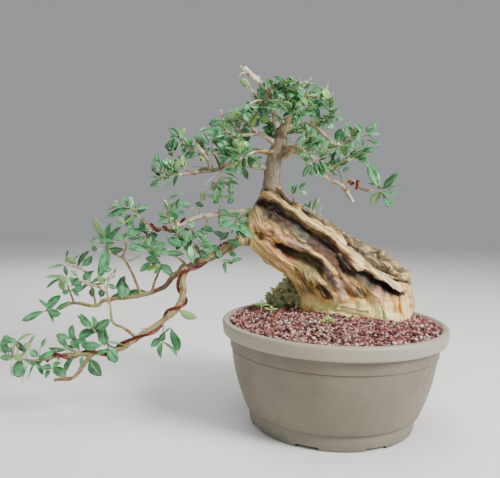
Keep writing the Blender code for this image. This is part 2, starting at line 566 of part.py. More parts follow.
def wall_radius(height):
    """The outer radius of the pot's tapering wall, slightly bowed."""
    share = (height - GROOVE_TOP) / (BAND_LOW - GROOVE_TOP)
    return GROOVE_RADIUS + WALL_TAPER * share + WALL_BOW * math.sin(math.pi * share)


def pot_outline():
    """The pot's section from the middle of its underside, round the foot, up and back inside."""
    under = [(0.0, FLOOR_UNDERSIDE), (FOOT_RADIUS - FOOT_THICKNESS, FLOOR_UNDERSIDE),
             (FOOT_RADIUS - FOOT_THICKNESS, 0.0)]
    outside = [(FOOT_RADIUS, 0.0), (FOOT_RADIUS + 0.003, 0.002), (0.0992, 0.0195)]
    outside += [(wall_radius(height), height) for height in (GROOVE_TOP, 0.045, 0.070, WALL_HIGH)]
    outside += [(BAND_RADIUS, BAND_LOW), (BAND_RADIUS + 0.0022, LIP_LOW - 0.0007)]
    outside += [(0.1310, LIP_LOW), (0.1342, 0.1096), (POT_RADIUS, 0.1145), (0.1340, 0.1195),
                (0.1305, POT_HEIGHT), (0.1285, 0.1225)]
    inside = [(soil_radius(height) + CLEAR, height) for height in (0.1185, 0.085, 0.050, FLOOR_TOP)]
    return under + outside + inside + [(0.0, FLOOR_TOP)]


def soil_radius(height):
    """The soil's outer radius, which follows the inside of the wall."""
    flare = max(0.0, height - WALL_HIGH) * NECK_FLARE
    return wall_radius(min(height, WALL_HIGH)) + flare - POT_WALL - CLEAR


def soil_top(x, y):
    """The heaped top of the soil, without its bumps."""
    share = min(1.0, math.hypot(x, y) / soil_radius(SOIL_RIM))
    return SOIL_RIM + SOIL_HEAP * (1.0 - share * share)


def make_pot():
    pot = shell_from_profile("pot", pot_outline(), POT_SIDES)
    cutters = []
    for index in range(NOTCH_COUNT):
        turn = math.tau * (index + 0.5) / NOTCH_COUNT - math.pi / 2
        work = bmesh.new()
        bmesh.ops.create_cube(work, size=1.0)
        bmesh.ops.scale(work, vec=(0.03, NOTCH_WIDTH, NOTCH_HEIGHT * 2), verts=work.verts)
        bmesh.ops.translate(work, vec=(FOOT_RADIUS - 0.003, 0, 0), verts=work.verts)
        bmesh.ops.rotate(work, matrix=Matrix.Rotation(turn, 3, "Z"), verts=work.verts)
        cutters.append(add_piece("notch", mesh_from(work, "notch")))
    for index in range(DRAIN_COUNT):
        turn = math.tau * index / DRAIN_COUNT
        work = bmesh.new()
        bmesh.ops.create_cone(work, cap_ends=True, segments=8, radius1=DRAIN_RADIUS,
                              radius2=DRAIN_RADIUS, depth=0.02)
        place = (DRAIN_RING * math.cos(turn), DRAIN_RING * math.sin(turn), FLOOR_TOP - 0.002)
        bmesh.ops.translate(work, vec=place, verts=work.verts)
        cutters.append(add_piece("drain", mesh_from(work, "drain")))
    pot = combine(pot, cutters, "DIFFERENCE")
    finish_piece(pot, "pot")
    return pot


def make_soil_block():
    top = [(soil_radius(SOIL_RIM) * (SOIL_RINGS - ring) / SOIL_RINGS, SOIL_RIM)
           for ring in range(SOIL_RINGS)]
    wall = [(soil_radius(height), height) for height in (FLOOR_TOP + CLEAR, 0.050, 0.085)]
    outline = [(0.0, FLOOR_TOP + CLEAR)] + wall + top + [(0.0, SOIL_RIM)]
    soil = shell_from_profile("soil", outline, POT_SIDES)
    for vert in soil.data.vertices:
        if vert.co.z < SOIL_RIM - 0.0001:
            continue
        x, y = vert.co.x, vert.co.y
        vert.co.z = soil_top(x, y)
        if math.hypot(x, y) < soil_radius(SOIL_RIM) - 0.001:
            vert.co.z += SOIL_BUMP * noise.noise(Vector((x, y, 0.0)) / BUMP_SPREAD)
    work = bmesh.new()
    work.from_mesh(soil.data)
    bmesh.ops.triangulate(work, faces=work.faces)
    work.to_mesh(soil.data)
    work.free()
    return soil


def ease(table, share):
    """Read a table of tuples at a share of its length, on a smooth curve."""
    reach = min(max(share, 0.0), 1.0) * (len(table) - 1)
    index = min(int(reach), len(table) - 2)
    t = reach - index
    here, there = table[index], table[index + 1]
    before = table[max(index - 1, 0)]
    after = table[min(index + 2, len(table) - 1)]
    return [0.5 * (2 * h + (n - b) * t + (2 * b - 5 * h + 4 * n - a) * t * t
                   + (3 * h - b - 3 * n + a) * t ** 3)
            for b, h, n, a in zip(before, here, there, after)]


def slab_tables():
    """The slab's upper edge, lower edge and half thickness, in metres."""
    upper = [tuple(seen(station[0])) for station in SLAB_STATIONS]
    lower = [tuple(seen(station[1])) for station in SLAB_STATIONS]
    half = [(station[2] * MM,) for station in SLAB_STATIONS]
    return upper, lower, half


def slab_edges(share, tables):
    return Vector(ease(tables[0], share)), Vector(ease(tables[1], share))


def distance_to_route(across, down, route):
    nearest = FAR_READING
    for (x1, y1), (x2, y2) in zip(route, route[1:]):
        dx, dy = x2 - x1, y2 - y1
        span = dx * dx + dy * dy
        t = min(1.0, max(0.0, ((across - x1) * dx + (down - y1) * dy) / span))
        nearest = min(nearest, math.hypot(across - x1 - dx * t, down - y1 - dy * t))
    return nearest


def carving_at(across, down):
    """How far the carved face stands out at a picture reading, in metres."""
    rise = 0.0
    for route, width, height in SLAB_CARVING:
        gap = distance_to_route(across, down, route) / width
        rise += height * MM * math.exp(-gap * gap)
    return rise


def slab_point(share, turn, tables):
    """A point of the slab's surface: share runs from the upper end to the foot."""
    upper, lower = slab_edges(share, tables)
    half = ease(tables[2], share)[0]
    middle = (upper + lower) / 2
    reach = (upper - lower) / 2
    ahead = sum(slab_edges(min(share + SLAB_GRIP, 1.0), tables), Vector((0, 0, 0)))
    behind = sum(slab_edges(max(share - SLAB_GRIP, 0.0), tables), Vector((0, 0, 0)))
    thick = reach.cross(ahead - behind).normalized()
    if thick.y > 0:
        thick.negate()
    cosine, sine = math.cos(turn), math.sin(turn)
    power = 2.0 / SLAB_SQUARENESS
    along = math.copysign(abs(cosine) ** power, cosine)
    out = math.copysign(abs(sine) ** power, sine)
    place = middle + reach * along + thick * (half * out)
    across, down = in_picture(place)
    fade = min(1.0, share * SLAB_FADE, (1.0 - share) * SLAB_FADE)
    if out > 0:
        place += thick * (carving_at(across, down) * min(1.0, out * 1.3) * fade)
    else:
        ridge = math.sin(7.0 * turn + 5.0 * share) + 0.6 * math.sin(12.0 * turn - 7.0 * share)
        place += thick * (BACK_RIDGES * ridge * abs(out) * fade)
    rough = noise.noise(place * BARK_GRAIN) * BARK_ROUGHNESS * fade
    return place + (place - middle).normalized() * rough


def make_slab():
    """The carved stump, a cylinder of rings drawn out into the slanting slab."""
    work = bmesh.new()
    bmesh.ops.create_cone(work, cap_ends=True, segments=SLAB_SIDES, radius1=1.0, radius2=1.0,
                          depth=1.0)
    posts = [edge for edge in work.edges if abs(edge.verts[0].co.z - edge.verts[1].co.z) > 0.5]
    bmesh.ops.subdivide_edges(work, edges=posts, cuts=SLAB_RINGS - 2, use_grid_fill=True)
    tables = slab_tables()
    for vert in work.verts:
        share = vert.co.z + 0.5
        turn = math.atan2(vert.co.y, vert.co.x)
        vert.co = slab_point(share, turn, tables)
    bmesh.ops.triangulate(work, faces=work.faces)
    bmesh.ops.recalc_face_normals(work, faces=work.faces)
    return add_piece("slab", mesh_from(work, "slab"))


def ball(name, place, radius, subdivisions=2):
    work = bmesh.new()
    bmesh.ops.create_icosphere(work, subdivisions=subdivisions, radius=radius)
    bmesh.ops.translate(work, vec=place, verts=work.verts)
    return add_piece(name, mesh_from(work, name))


def stem_route(marks, sizes, steps=1):
    return smooth_route([seen(mark) for mark in marks], [size * MM for size in sizes], steps)


def root_route():
    """The root that creeps over the grit and dips into it."""
    route = []
    for x, y, rise, thickness in SURFACE_ROOT:
        place = Vector((x * MM, y * MM, soil_top(x * MM, y * MM) + rise * MM))
        route.append((place, thickness * MM))
    return route


def split_route(route, bare):
    """Cut a route square across, and leave the hair's breadth between its two parts."""
    done = 0.0
    for index in range(len(route) - 1):
        (here, thick_here), (there, thick_there) = route[index], route[index + 1]
        step = (there - here).length
        if done + step >= bare or index == len(route) - 2:
            t = min(0.9, max(0.1, (bare - done) / step))
            cut = here.lerp(there, t)
            size = thick_here + (thick_there - thick_here) * t
            along = (there - here).normalized()
            foot = route[:index + 1] + [(cut, size)]
            return foot, [(cut + along * CLEAR, size)] + route[index + 1:]
        done += step
    return route, route


def twig_routes(twig):
    """The routes of one leafy twig: the bare foot, then the leafy stems."""
    routes, sizes, bare = twig[1:4]
    main = stem_route(routes[0], spread_sizes(sizes, len(routes[0])))
    foot, leafy = split_route(main, bare * MM)
    side = (sizes[0] * 0.75, sizes[1])
    others = [stem_route(marks, spread_sizes(side, len(marks))) for marks in routes[1:]]
    return foot, [leafy] + others


def make_wood(slab, feet):
    """The stump, stems, burrs, root and the bare feet of the leafy twigs, grown as one."""
    others = [tube(name, stem_route(marks, sizes), sides)
              for name, marks, sizes, sides in STEMS]
    others += [ball("burr", seen(mark), radius * MM, 2 if radius > LARGE_BURR else 1)
               for mark, radius in BURRS]
    others.append(tube("surface_root", root_route(), 6))
    others += [tube("foot", foot, 4) for foot in feet]
    wood = combine(slab, others)
    wood.name = "trunk"
    finish_piece(wood, "wood")
    return wood


def frames_along(places):
    """Two directions across the route at each place, without twist."""
    across = Vector((0, 0, 1))
    frames = []
    for index in range(len(places)):
        ahead = (places[min(index + 1, len(places) - 1)] - places[max(index - 1, 0)]).normalized()
        across = (across - ahead * across.dot(ahead)).normalized()
        frames.append((across, ahead.cross(across)))
    return frames


def make_wire(name, marks):
    """A training wire wound round a branch, a hair's breadth off the wood."""
    table = [(*seen(mark[:3]), mark[3] * MM, mark[4]) for mark in marks]
    samples = []
    for span in range(len(table) - 1):
        count = max(2, round((table[span + 1][4] - table[span][4]) * WIRE_STEPS))
        samples += [ease(table, (span + step / count) / (len(table) - 1)) for step in range(count)]
    samples.append(table[-1])
    places = [Vector(sample[:3]) for sample in samples]
    route = []
    for place, sample, (first, second) in zip(places, samples, frames_along(places)):
        angle = math.tau * sample[4]
        out = first * math.cos(angle) + second * math.sin(angle)
        route.append((place + out * (sample[3] / 2 + WIRE_RADIUS + 2 * CLEAR), WIRE_RADIUS * 2))
    wire = tube(name, route, 6)
    finish_piece(wire, "wire")
    return wire


def leaf_blade(root, tip, width, facing, arch, extra=0.0):
    """A slim blade with a keel under its rib and its ends at root and tip, as a bmesh."""
    along = tip - root
    length = along.length + extra
    along.normalize()
    up = (facing - along * facing.dot(along)).normalized()
    side = up.cross(along)
    work = bmesh.new()
    bmesh.ops.create_uvsphere(work, u_segments=3, v_segments=3, radius=1.0)
    for vert in work.verts:
        share, spread = 0.5 - vert.co.z / 2, 0.0
        if abs(vert.co.z) < 0.9:
            share, spread = LEAF_RINGS[vert.co.z < 0]
        keel = abs(vert.co.x) < 0.1
        sideways = 0.0 if keel else math.copysign(spread * (width / 2 + extra), vert.co.x)
        lift = (LEAF_RIB / 2 + extra) * spread * (-1.0 if keel else 1.0)
        bow = -arch * length * share * share
        vert.co = root + along * (share * length) + side * sideways + up * (lift + bow)
    bmesh.ops.triangulate(work, faces=work.faces)
    bmesh.ops.recalc_face_normals(work, faces=work.faces)
    return work


def tree_of(work_or_mesh):
    if isinstance(work_or_mesh, bmesh.types.BMesh):
        return BVHTree.FromBMesh(work_or_mesh)
    work = bmesh.new()
    work.from_mesh(work_or_mesh)
    tree = BVHTree.FromBMesh(work)
    work.free()
    return tree


def nearest_on_routes(across, down, routes):
    """The place on a twig's leafy routes nearest to a picture reading, and how near it is."""
    best = (FAR_READING, None, None)
    for route in routes:
        for (here, _), (there, _) in zip(route, route[1:]):
            for step in range(1, 6):
                place = here.lerp(there, step / 6)
                x, y = in_picture(place)
                gap = math.hypot(x - across, y - down)
                if gap < best[0]:
                    best = (gap, place, (there - here).normalized())
    return best


def marked_leaves(stems):
    """Share the leaves that were read one by one among the twigs that carry them."""
    shared = {name: [] for name in stems}
    for index, (across, down, tip_across, tip_down, width) in enumerate(LEAF_MARKS):
        gaps = {name: nearest_on_routes(across, down, routes) for name, routes in stems.items()}
        name = min(gaps, key=lambda key: gaps[key][0])
        root, along = gaps[name][1:]
        draw = random.Random(f"mark {index}")
        flat = seen((tip_across, tip_down, root.y / MM))
        reach = (flat - root).length
        tip = seen((tip_across, tip_down, root.y / MM + reach / MM * draw.uniform(-0.35, 0.25)))
        scale = (root - VIEW_EYE).length / VIEW_FOCAL
        shared[name].append((root, tip, width * scale, leaf_facing(draw, tip - root, along), 0.1))
    return shared


def leaf_facing(draw, along, stem):
    """The way that a leaf's upper side looks: up, outward and a little towards the light."""
    facing = Vector((draw.uniform(-0.5, 0.5), draw.uniform(-0.9, 0.1), draw.uniform(0.5, 1.2)))
    facing = facing - along.normalized() * facing.dot(along.normalized())
    if facing.length < 0.1:
        facing = stem.orthogonal()
    return facing.normalized()


def ruled_leaves(name, routes, leaf_length, taken):
    """Opposite pairs along each leafy stem and a tuft at its end, less the leaves read already."""
    draw = random.Random(name)
    leaves = []
    for route in routes:
        length = sum((b[0] - a[0]).length for a, b in zip(route, route[1:]))
        pairs = max(1, int((length - FIRST_PAIR) / PAIR_SPACING))
        turn = draw.uniform(0, math.pi)
        for pair in range(pairs + 1):
            at_tip = pair == pairs
            distance = length - TIP_SINK if at_tip else FIRST_PAIR + pair * PAIR_SPACING
            place, along = place_on(route, distance)
            across = along.orthogonal().normalized()
            for side in range(2):
                spin = turn + side * math.pi + draw.uniform(-0.35, 0.35)
                out = Matrix.Rotation(spin, 3, along) @ across
                lean = draw.uniform(0.25, 0.6) if at_tip else draw.uniform(0.75, 1.15)
                aim = (along * math.cos(lean) + out * math.sin(lean)).normalized()
                aim = (aim + Vector((0, 0, draw.uniform(0.0, 0.35)))).normalized()
                size = leaf_length * MM * draw.uniform(0.75, 1.2)
                width = size * LEAF_WIDTH_SHARE * draw.uniform(0.85, 1.15)
                facing = leaf_facing(draw, aim, along)
                leaves.append((place, place + aim * size, width, facing, draw.uniform(0.0, 0.22)))
            turn += math.pi / 2
    return leaves[:max(0, len(leaves) - taken)]


def place_on(route, distance):
    """The place and direction at a distance along a route."""
    for (here, _), (there, _) in zip(route, route[1:]):
        step = (there - here).length
        if distance <= step:
            return here.lerp(there, distance / step), (there - here).normalized()
        distance -= step
    return route[-1][0].copy(), (route[-1][0] - route[-2][0]).normalized()


def clear_leaf(leaf, blocked, outer_blocks=()):
    """Bend a leaf clear of every other piece, or give it up."""
    root, tip, width, facing, arch = leaf
    along = tip - root
    axis = along.orthogonal().normalized()
    for tilt, spin in LEAF_BENDS:
        turned = Matrix.Rotation(tilt, 3, Matrix.Rotation(spin, 3, along.normalized()) @ axis) @ along
        bent = (root, root + turned, width, facing, arch)
        if hits(leaf_blade(*bent, 2 * CLEAR), blocked):
            continue
        if not hits(outer_blade(bent), outer_blocks):
            return bent
    return None


def outer_blade(leaf):
    """The blade beyond its stalk, which leaves of one twig keep clear of each other."""
    root, tip, width, facing, arch = leaf
    return leaf_blade(root.lerp(tip, OUTER_SHARE), tip, width, facing, arch)


def hits(work, blocked):
    tree = BVHTree.FromBMesh(work)
    box = box_of(work.verts)
    work.free()
    return any(tree.overlap(other) for other, other_box in blocked if boxes_meet(box, other_box))


def box_of(verts):
    low = Vector([min(vert.co[axis] for vert in verts) for axis in range(3)])
    high = Vector([max(vert.co[axis] for vert in verts) for axis in range(3)])
    return low, high


def boxes_meet(first, second):
    return all(first[0][axis] <= second[1][axis] and second[0][axis] <= first[1][axis]
               for axis in range(3))


def blocker(mesh):
    return tree_of(mesh), box_of(mesh.vertices)


def wanted_leaves(stems):
    """Every leaf as (twig name, leaf): first those read from the picture, then the ruled ones."""
    marked = marked_leaves(stems)
    wanted = [(name, leaf) for name in stems for leaf in marked[name]]
    for twig in TWIGS:
        name, leaf_length = twig[0], twig[4]
        leaves = ruled_leaves(name, stems[name], leaf_length, len(marked[name]))
        wanted += [(name, leaf) for leaf in leaves]
    return wanted


def grow_twigs(stems, wood_pieces):
    """Build each leafy twig with the leaves that stay clear of all that is there already."""
    tubes = {name: [tube(name + "_stem", route, 4) for route in routes]
             for name, routes in stems.items()}
    blocks = {name: [blocker(piece.data) for piece in pieces] for name, pieces in tubes.items()}
    fixed = [blocker(piece.data) for piece in wood_pieces]
    outer_blocks = {name: [] for name in stems}
    kept = {name: [] for name in stems}
    for name, leaf in wanted_leaves(stems):
        others = [block for key in stems if key != name for block in blocks[key]]
        leaf = clear_leaf(leaf, fixed + others, outer_blocks[name])
        if leaf is None:
            continue
        outer_blocks[name].append(blocker(mesh_from(outer_blade(leaf), "outer")))
        piece = add_piece("leaf", mesh_from(leaf_blade(*leaf), "leaf"))
        kept[name].append(piece)
        blocks[name].append(blocker(piece.data))
    for name, pieces in tubes.items():
        spray = combine(pieces[0], pieces[1:] + kept[name])
        spray.name = "spray_" + name
        finish_piece(spray, "leaf")


def make_moss(slab, soil):
    """A creeping clump against the trunk's left foot: a lumpy core that small leaves stand out of."""
    draw = random.Random("moss clump")
    core = ball("moss_clump", (0, 0, 0), 1.0, 2)
    middle = seen(MOSS_MIDDLE)
    for vert in core.data.vertices:
        lump = 1.0 + 0.28 * noise.noise(vert.co * MOSS_LUMPS + Vector((3.1, 0.4, 7.7)))
        vert.co = middle + Vector([vert.co[axis] * MOSS_HALF[axis] * lump for axis in range(3)])
    middle_tree = tree_of(core.data)
    swollen_soil = swell(soil, 2 * CLEAR)
    walls = [blocker(swollen_soil.data), blocker(slab.data)]
    leaves = []
    for _ in range(MOSS_LEAVES):
        out = Vector((draw.gauss(0, 1), draw.gauss(0, 1) - 0.6, draw.gauss(0, 1) + 0.5)).normalized()
        hit = middle_tree.ray_cast(middle + out * 0.2, -out)[0]
        root = hit - out * MOSS_LEAF_SINK
        aim = (out + Vector([draw.uniform(-0.6, 0.6) for _ in range(3)])).normalized()
        size = draw.uniform(0.006, 0.010)
        tip = root + aim * (size + MOSS_LEAF_SINK)
        leaf = clear_leaf((root, tip, size * 0.6, leaf_facing(draw, aim, out), 0.1), walls)
        if leaf:
            leaves.append(add_piece("moss_leaf", mesh_from(leaf_blade(*leaf), "moss_leaf")))
    core = combine(core, leaves)
    for neighbour in (swell(slab, 2 * CLEAR), swollen_soil):
        core = combine(core, [neighbour], "DIFFERENCE")
    finish_piece(core, "moss")
    return core


def make_seedling():
    """A small weed with two pairs of leaves, its stem in a plain hole in the soil."""
    east, north, height = SEEDLING
    foot = Vector((east, north, soil_top(east, north) - 0.006))
    top = Vector((east - 0.001, north, soil_top(east, north) + height))
    stem = tube("seedling", [(foot, 0.002), (foot.lerp(top, 0.5), 0.0018), (top, 0.0014)], 6)
    leaves = []
    for index in range(4):
        turn = index * math.pi / 2 + 0.4
        aim = Vector((math.cos(turn), math.sin(turn), 0.55)).normalized()
        root = foot.lerp(top, 0.95 if index % 2 else 0.75)
        leaf = leaf_blade(root, root + aim * 0.011, 0.005, Vector((0, -0.3, 1)), 0.2)
        leaves.append(add_piece("seedling_leaf", mesh_from(leaf, "seedling_leaf")))
    hole = tube("seedling_hole", [(foot - Vector((0, 0, CLEAR)), 0.0027),
                                  (foot + Vector((0, 0, 0.012)), 0.0027)], 8)
    seedling = combine(stem, leaves)
    finish_piece(seedling, "leaf")
    return seedling, hole


def centre_on_origin():
    """Move the whole part so that its box stands centred over the origin."""
    pieces = [thing for thing in bpy.data.objects if thing.type == "MESH"]
    low = [min(vert.co[axis] for piece in pieces for vert in piece.data.vertices) for axis in (0, 1)]
    high = [max(vert.co[axis] for piece in pieces for vert in piece.data.vertices) for axis in (0, 1)]
    for piece in pieces:
        piece.location = (-(low[0] + high[0]) / 2, -(low[1] + high[1]) / 2, 0.0)


def main():
    remove_everything()
    make_pot()
    soil = make_soil_block()
    slab = make_slab()
    root = tube("surface_root_cutter", root_route(), 6)
    holes = [swell(slab, HOLE_CLEAR), swell(root, HOLE_CLEAR)]
    bpy.data.objects.remove(root, do_unlink=True)
    moss = make_moss(slab, soil)
    seedling, seedling_hole = make_seedling()
    for hole in holes + [seedling_hole]:
        soil = combine(soil, [hole], "DIFFERENCE")
    finish_piece(soil, "soil")
    feet = {}
    stems = {}
    for twig in TWIGS:
        feet[twig[0]], stems[twig[0]] = twig_routes(twig)
    wood = make_wood(slab, list(feet.values()))
    wires = [make_wire(name, marks) for name, marks in WIRES]
    grow_twigs(stems, [wood, soil, moss, seedling] + wires)
    centre_on_origin()


main()
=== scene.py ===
import json
import math
import random

import bmesh
import bpy
import numpy as np
from mathutils import Matrix, Vector, noise

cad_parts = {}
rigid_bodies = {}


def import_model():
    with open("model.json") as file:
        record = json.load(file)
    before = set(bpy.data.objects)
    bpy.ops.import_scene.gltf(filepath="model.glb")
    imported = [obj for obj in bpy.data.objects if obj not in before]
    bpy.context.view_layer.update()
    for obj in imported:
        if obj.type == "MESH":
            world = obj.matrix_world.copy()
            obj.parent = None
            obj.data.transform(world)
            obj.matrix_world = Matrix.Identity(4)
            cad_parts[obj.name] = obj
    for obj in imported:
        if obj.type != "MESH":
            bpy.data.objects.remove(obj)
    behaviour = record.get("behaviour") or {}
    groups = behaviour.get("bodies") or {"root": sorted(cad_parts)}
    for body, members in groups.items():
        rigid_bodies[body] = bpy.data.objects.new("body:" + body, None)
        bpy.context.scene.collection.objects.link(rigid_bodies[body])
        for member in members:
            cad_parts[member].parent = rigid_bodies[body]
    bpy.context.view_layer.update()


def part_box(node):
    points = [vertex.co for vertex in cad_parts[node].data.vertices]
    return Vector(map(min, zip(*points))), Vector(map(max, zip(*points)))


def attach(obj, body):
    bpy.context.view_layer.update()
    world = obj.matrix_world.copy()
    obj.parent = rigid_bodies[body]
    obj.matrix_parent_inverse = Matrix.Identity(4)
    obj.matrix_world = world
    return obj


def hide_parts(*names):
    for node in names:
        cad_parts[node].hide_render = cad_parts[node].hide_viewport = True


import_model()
print("frame loaded")
noise.seed_set(5)  # noise_vector takes its offsets from this seed

# Olive bonsai in a training pot. Lengths are metres unless a note says otherwise.
# The tree is laid out about the pot's axis; every finished mesh is then moved to where the pot stands.
mm = 0.001
potLow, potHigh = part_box("pot")
potPlace = Vector(((potLow.x + potHigh.x) / 2, (potLow.y + potHigh.y) / 2, 0.0))

view = {  # where the picture was taken from, about the pot's axis, and its readings in pixels
    "eye": Vector((-0.104, -0.688, 0.266)),
    "focal": 570.0,
    "middle": (250.0, 239.0),
    "dip": 0.068,
    "roll": 0.0242,
    "imageWidth": 500.0,
    "sensor": 36.0,
}


def viewAxes():
    ahead = Vector((0.0, math.cos(view["dip"]), -math.sin(view["dip"])))
    right = Vector((1.0, 0.0, 0.0))
    up = right.cross(ahead)
    turned = right * math.cos(view["roll"]) + up * math.sin(view["roll"])
    raised = up * math.cos(view["roll"]) - right * math.sin(view["roll"])
    return turned, raised, ahead


viewRight, viewUp, viewAhead = viewAxes()


def seen(mark):  # the place shown at (across, down) in the picture, on the plane at that depth in mm
    across, down, depth = mark
    ray = viewAhead + viewRight * ((across - view["middle"][0]) / view["focal"])
    ray = ray - viewUp * ((down - view["middle"][1]) / view["focal"])
    return view["eye"] + ray * ((depth * mm - view["eye"].y) / ray.y)


def inPicture(place):
    offset = place - view["eye"]
    reach = offset.dot(viewAhead)
    across = view["middle"][0] + view["focal"] * offset.dot(viewRight) / reach
    return across, view["middle"][1] - view["focal"] * offset.dot(viewUp) / reach


def tone(red, green, blue):  # a colour given as screen values from 0 to 255
    return tuple((value / 255 / 12.92 if value < 10.3 else ((value / 255 + 0.055) / 1.055) ** 2.4)
                 for value in (red, green, blue))


# Stage: floor, backdrop tone, lights and camera

stage = {
    "floorSize": 6.0,
    "floorTone": tone(226, 225, 222),
    "skyTone": tone(232, 234, 238),
    "skyStrength": 0.42,
    "lights": [  # name, place about the pot, aim, width, watts
        ("keyLight", (1.2, -0.95, 1.2), (0.0, 0.0, 0.2), 0.7, 67.0),
        ("fillLight", (-1.5, -1.0, 0.9), (0.0, 0.0, 0.2), 1.4, 8.0),
        ("topLight", (-0.1, -0.1, 1.7), (0.0, 0.0, 0.2), 1.1, 15.0),
        ("rimLight", (-0.5, 1.3, 1.1), (0.0, 0.0, 0.25), 1.0, 9.0),
    ],
}


def buildStage():
    work = bmesh.new()
    bmesh.ops.create_grid(work, x_segments=1, y_segments=1, size=stage["floorSize"] / 2)
    mesh = bpy.data.meshes.new("floor")
    work.to_mesh(mesh)
    work.free()
    floor = bpy.data.objects.new("floor", mesh)
    bpy.context.scene.collection.objects.link(floor)
    floorFinish, _ = startMaterial("paleFloor", Base_Color=(*stage["floorTone"], 1.0), Roughness=0.9)
    floor.data.materials.append(floorFinish)
    world = bpy.data.worlds.new("paleRoom")
    bpy.context.scene.world = world
    world.use_nodes = True
    world.node_tree.nodes["Background"].inputs["Color"].default_value = (*stage["skyTone"], 1.0)
    world.node_tree.nodes["Background"].inputs["Strength"].default_value = stage["skyStrength"]
    for name, place, aim, width, watts in stage["lights"]:
        light = bpy.data.lights.new(name, "AREA")
        light.size = width
        light.energy = watts
        lamp = bpy.data.objects.new(name, light)
        bpy.context.scene.collection.objects.link(lamp)
        lamp.location = Vector(place) + potPlace
        lamp.rotation_euler = (Vector(aim) - Vector(place)).to_track_quat("-Z", "Y").to_euler()


def buildCamera():
    data = bpy.data.cameras.new("photoCamera")
    data.sensor_width = view["sensor"]
    data.lens = view["focal"] / view["imageWidth"] * view["sensor"]
    camera = bpy.data.objects.new("photoCamera", data)
    bpy.context.scene.collection.objects.link(camera)
    turn = Matrix((viewRight, viewUp, -viewAhead)).transposed().to_4x4()
    camera.matrix_world = Matrix.Translation(view["eye"] + potPlace) @ turn
    bpy.context.scene.camera = camera


# Material building

def addNode(tree, kind, settings=None, **inputs):
    made = tree.nodes.new(kind)
    for key, value in (settings or {}).items():
        setattr(made, key, value)
    for key, value in inputs.items():
        socket = made.inputs[key.replace("_", " ")]
        if isinstance(value, bpy.types.NodeSocket):
            tree.links.new(value, socket)
        else:
            socket.default_value = value
    return made


def blendTones(tree, share, first, second):  # mixes two colours by a share from 0 to 1
    mix = addNode(tree, "ShaderNodeMix", {"data_type": "RGBA", "clamp_factor": True})
    for index, value in ((0, share), (6, first), (7, second)):
        if isinstance(value, bpy.types.NodeSocket):
            tree.links.new(value, mix.inputs[index])
        elif index:
            mix.inputs[index].default_value = (*value, 1.0)
        else:
            mix.inputs[index].default_value = value
    return mix.outputs[2]


def combine(tree, kind, first, second=0.0):  # one arithmetic step on two values
    made = addNode(tree, "ShaderNodeMath", {"operation": kind})
    for socket, value in zip(made.inputs, (first, second)):
        if isinstance(value, bpy.types.NodeSocket):
            tree.links.new(value, socket)
        else:
            socket.default_value = value
    return made.outputs[0]


def times(tree, first, second):
    return combine(tree, "MULTIPLY", first, second)


def plus(tree, first, second):
    return combine(tree, "ADD", first, second)


def retinted(tree, colour, value, saturation):  # the same colour, lighter or darker and more or less vivid
    made = addNode(tree, "ShaderNodeHueSaturation", Value=value, Saturation=saturation, Color=colour)
    return made.outputs[0]


def spread(tree, value, low, high, newLow=0.0, newHigh=1.0):
    made = addNode(tree, "ShaderNodeMapRange", {"clamp": True}, Value=value)
    for key, number in (("From Min", low), ("From Max", high), ("To Min", newLow), ("To Max", newHigh)):
        made.inputs[key].default_value = number
    return made.outputs["Result"]


def newGroup(name, inputs, outputs):
    group = bpy.data.node_groups.new(name, "ShaderNodeTree")
    for key, kind, value in inputs:
        socket = group.interface.new_socket(name=key, in_out="INPUT", socket_type=kind)
        if value is not None:
            socket.default_value = value
    for key, kind in outputs:
        group.interface.new_socket(name=key, in_out="OUTPUT", socket_type=kind)
    return group, group.nodes.new("NodeGroupInput"), group.nodes.new("NodeGroupOutput")


def buildMottle():  # soft patches of two sizes, each as a value about 0.5
    group, entry, leave = newGroup(
        "mottle", [("Vector", "NodeSocketVector", None), ("Scale", "NodeSocketFloat", 10.0)],
        [("Value", "NodeSocketFloat"), ("Fine", "NodeSocketFloat")])
    place = entry.outputs["Vector"]
    broad = addNode(group, "ShaderNodeTexNoise", Vector=place, Scale=entry.outputs["Scale"],
                    Detail=5.0, Roughness=0.6)
    finer = addNode(group, "ShaderNodeTexNoise", Vector=place,
                    Scale=times(group, entry.outputs["Scale"], 9.0), Detail=3.0)
    group.links.new(broad.outputs[0], leave.inputs["Value"])
    group.links.new(finer.outputs[0], leave.inputs["Fine"])
    return group


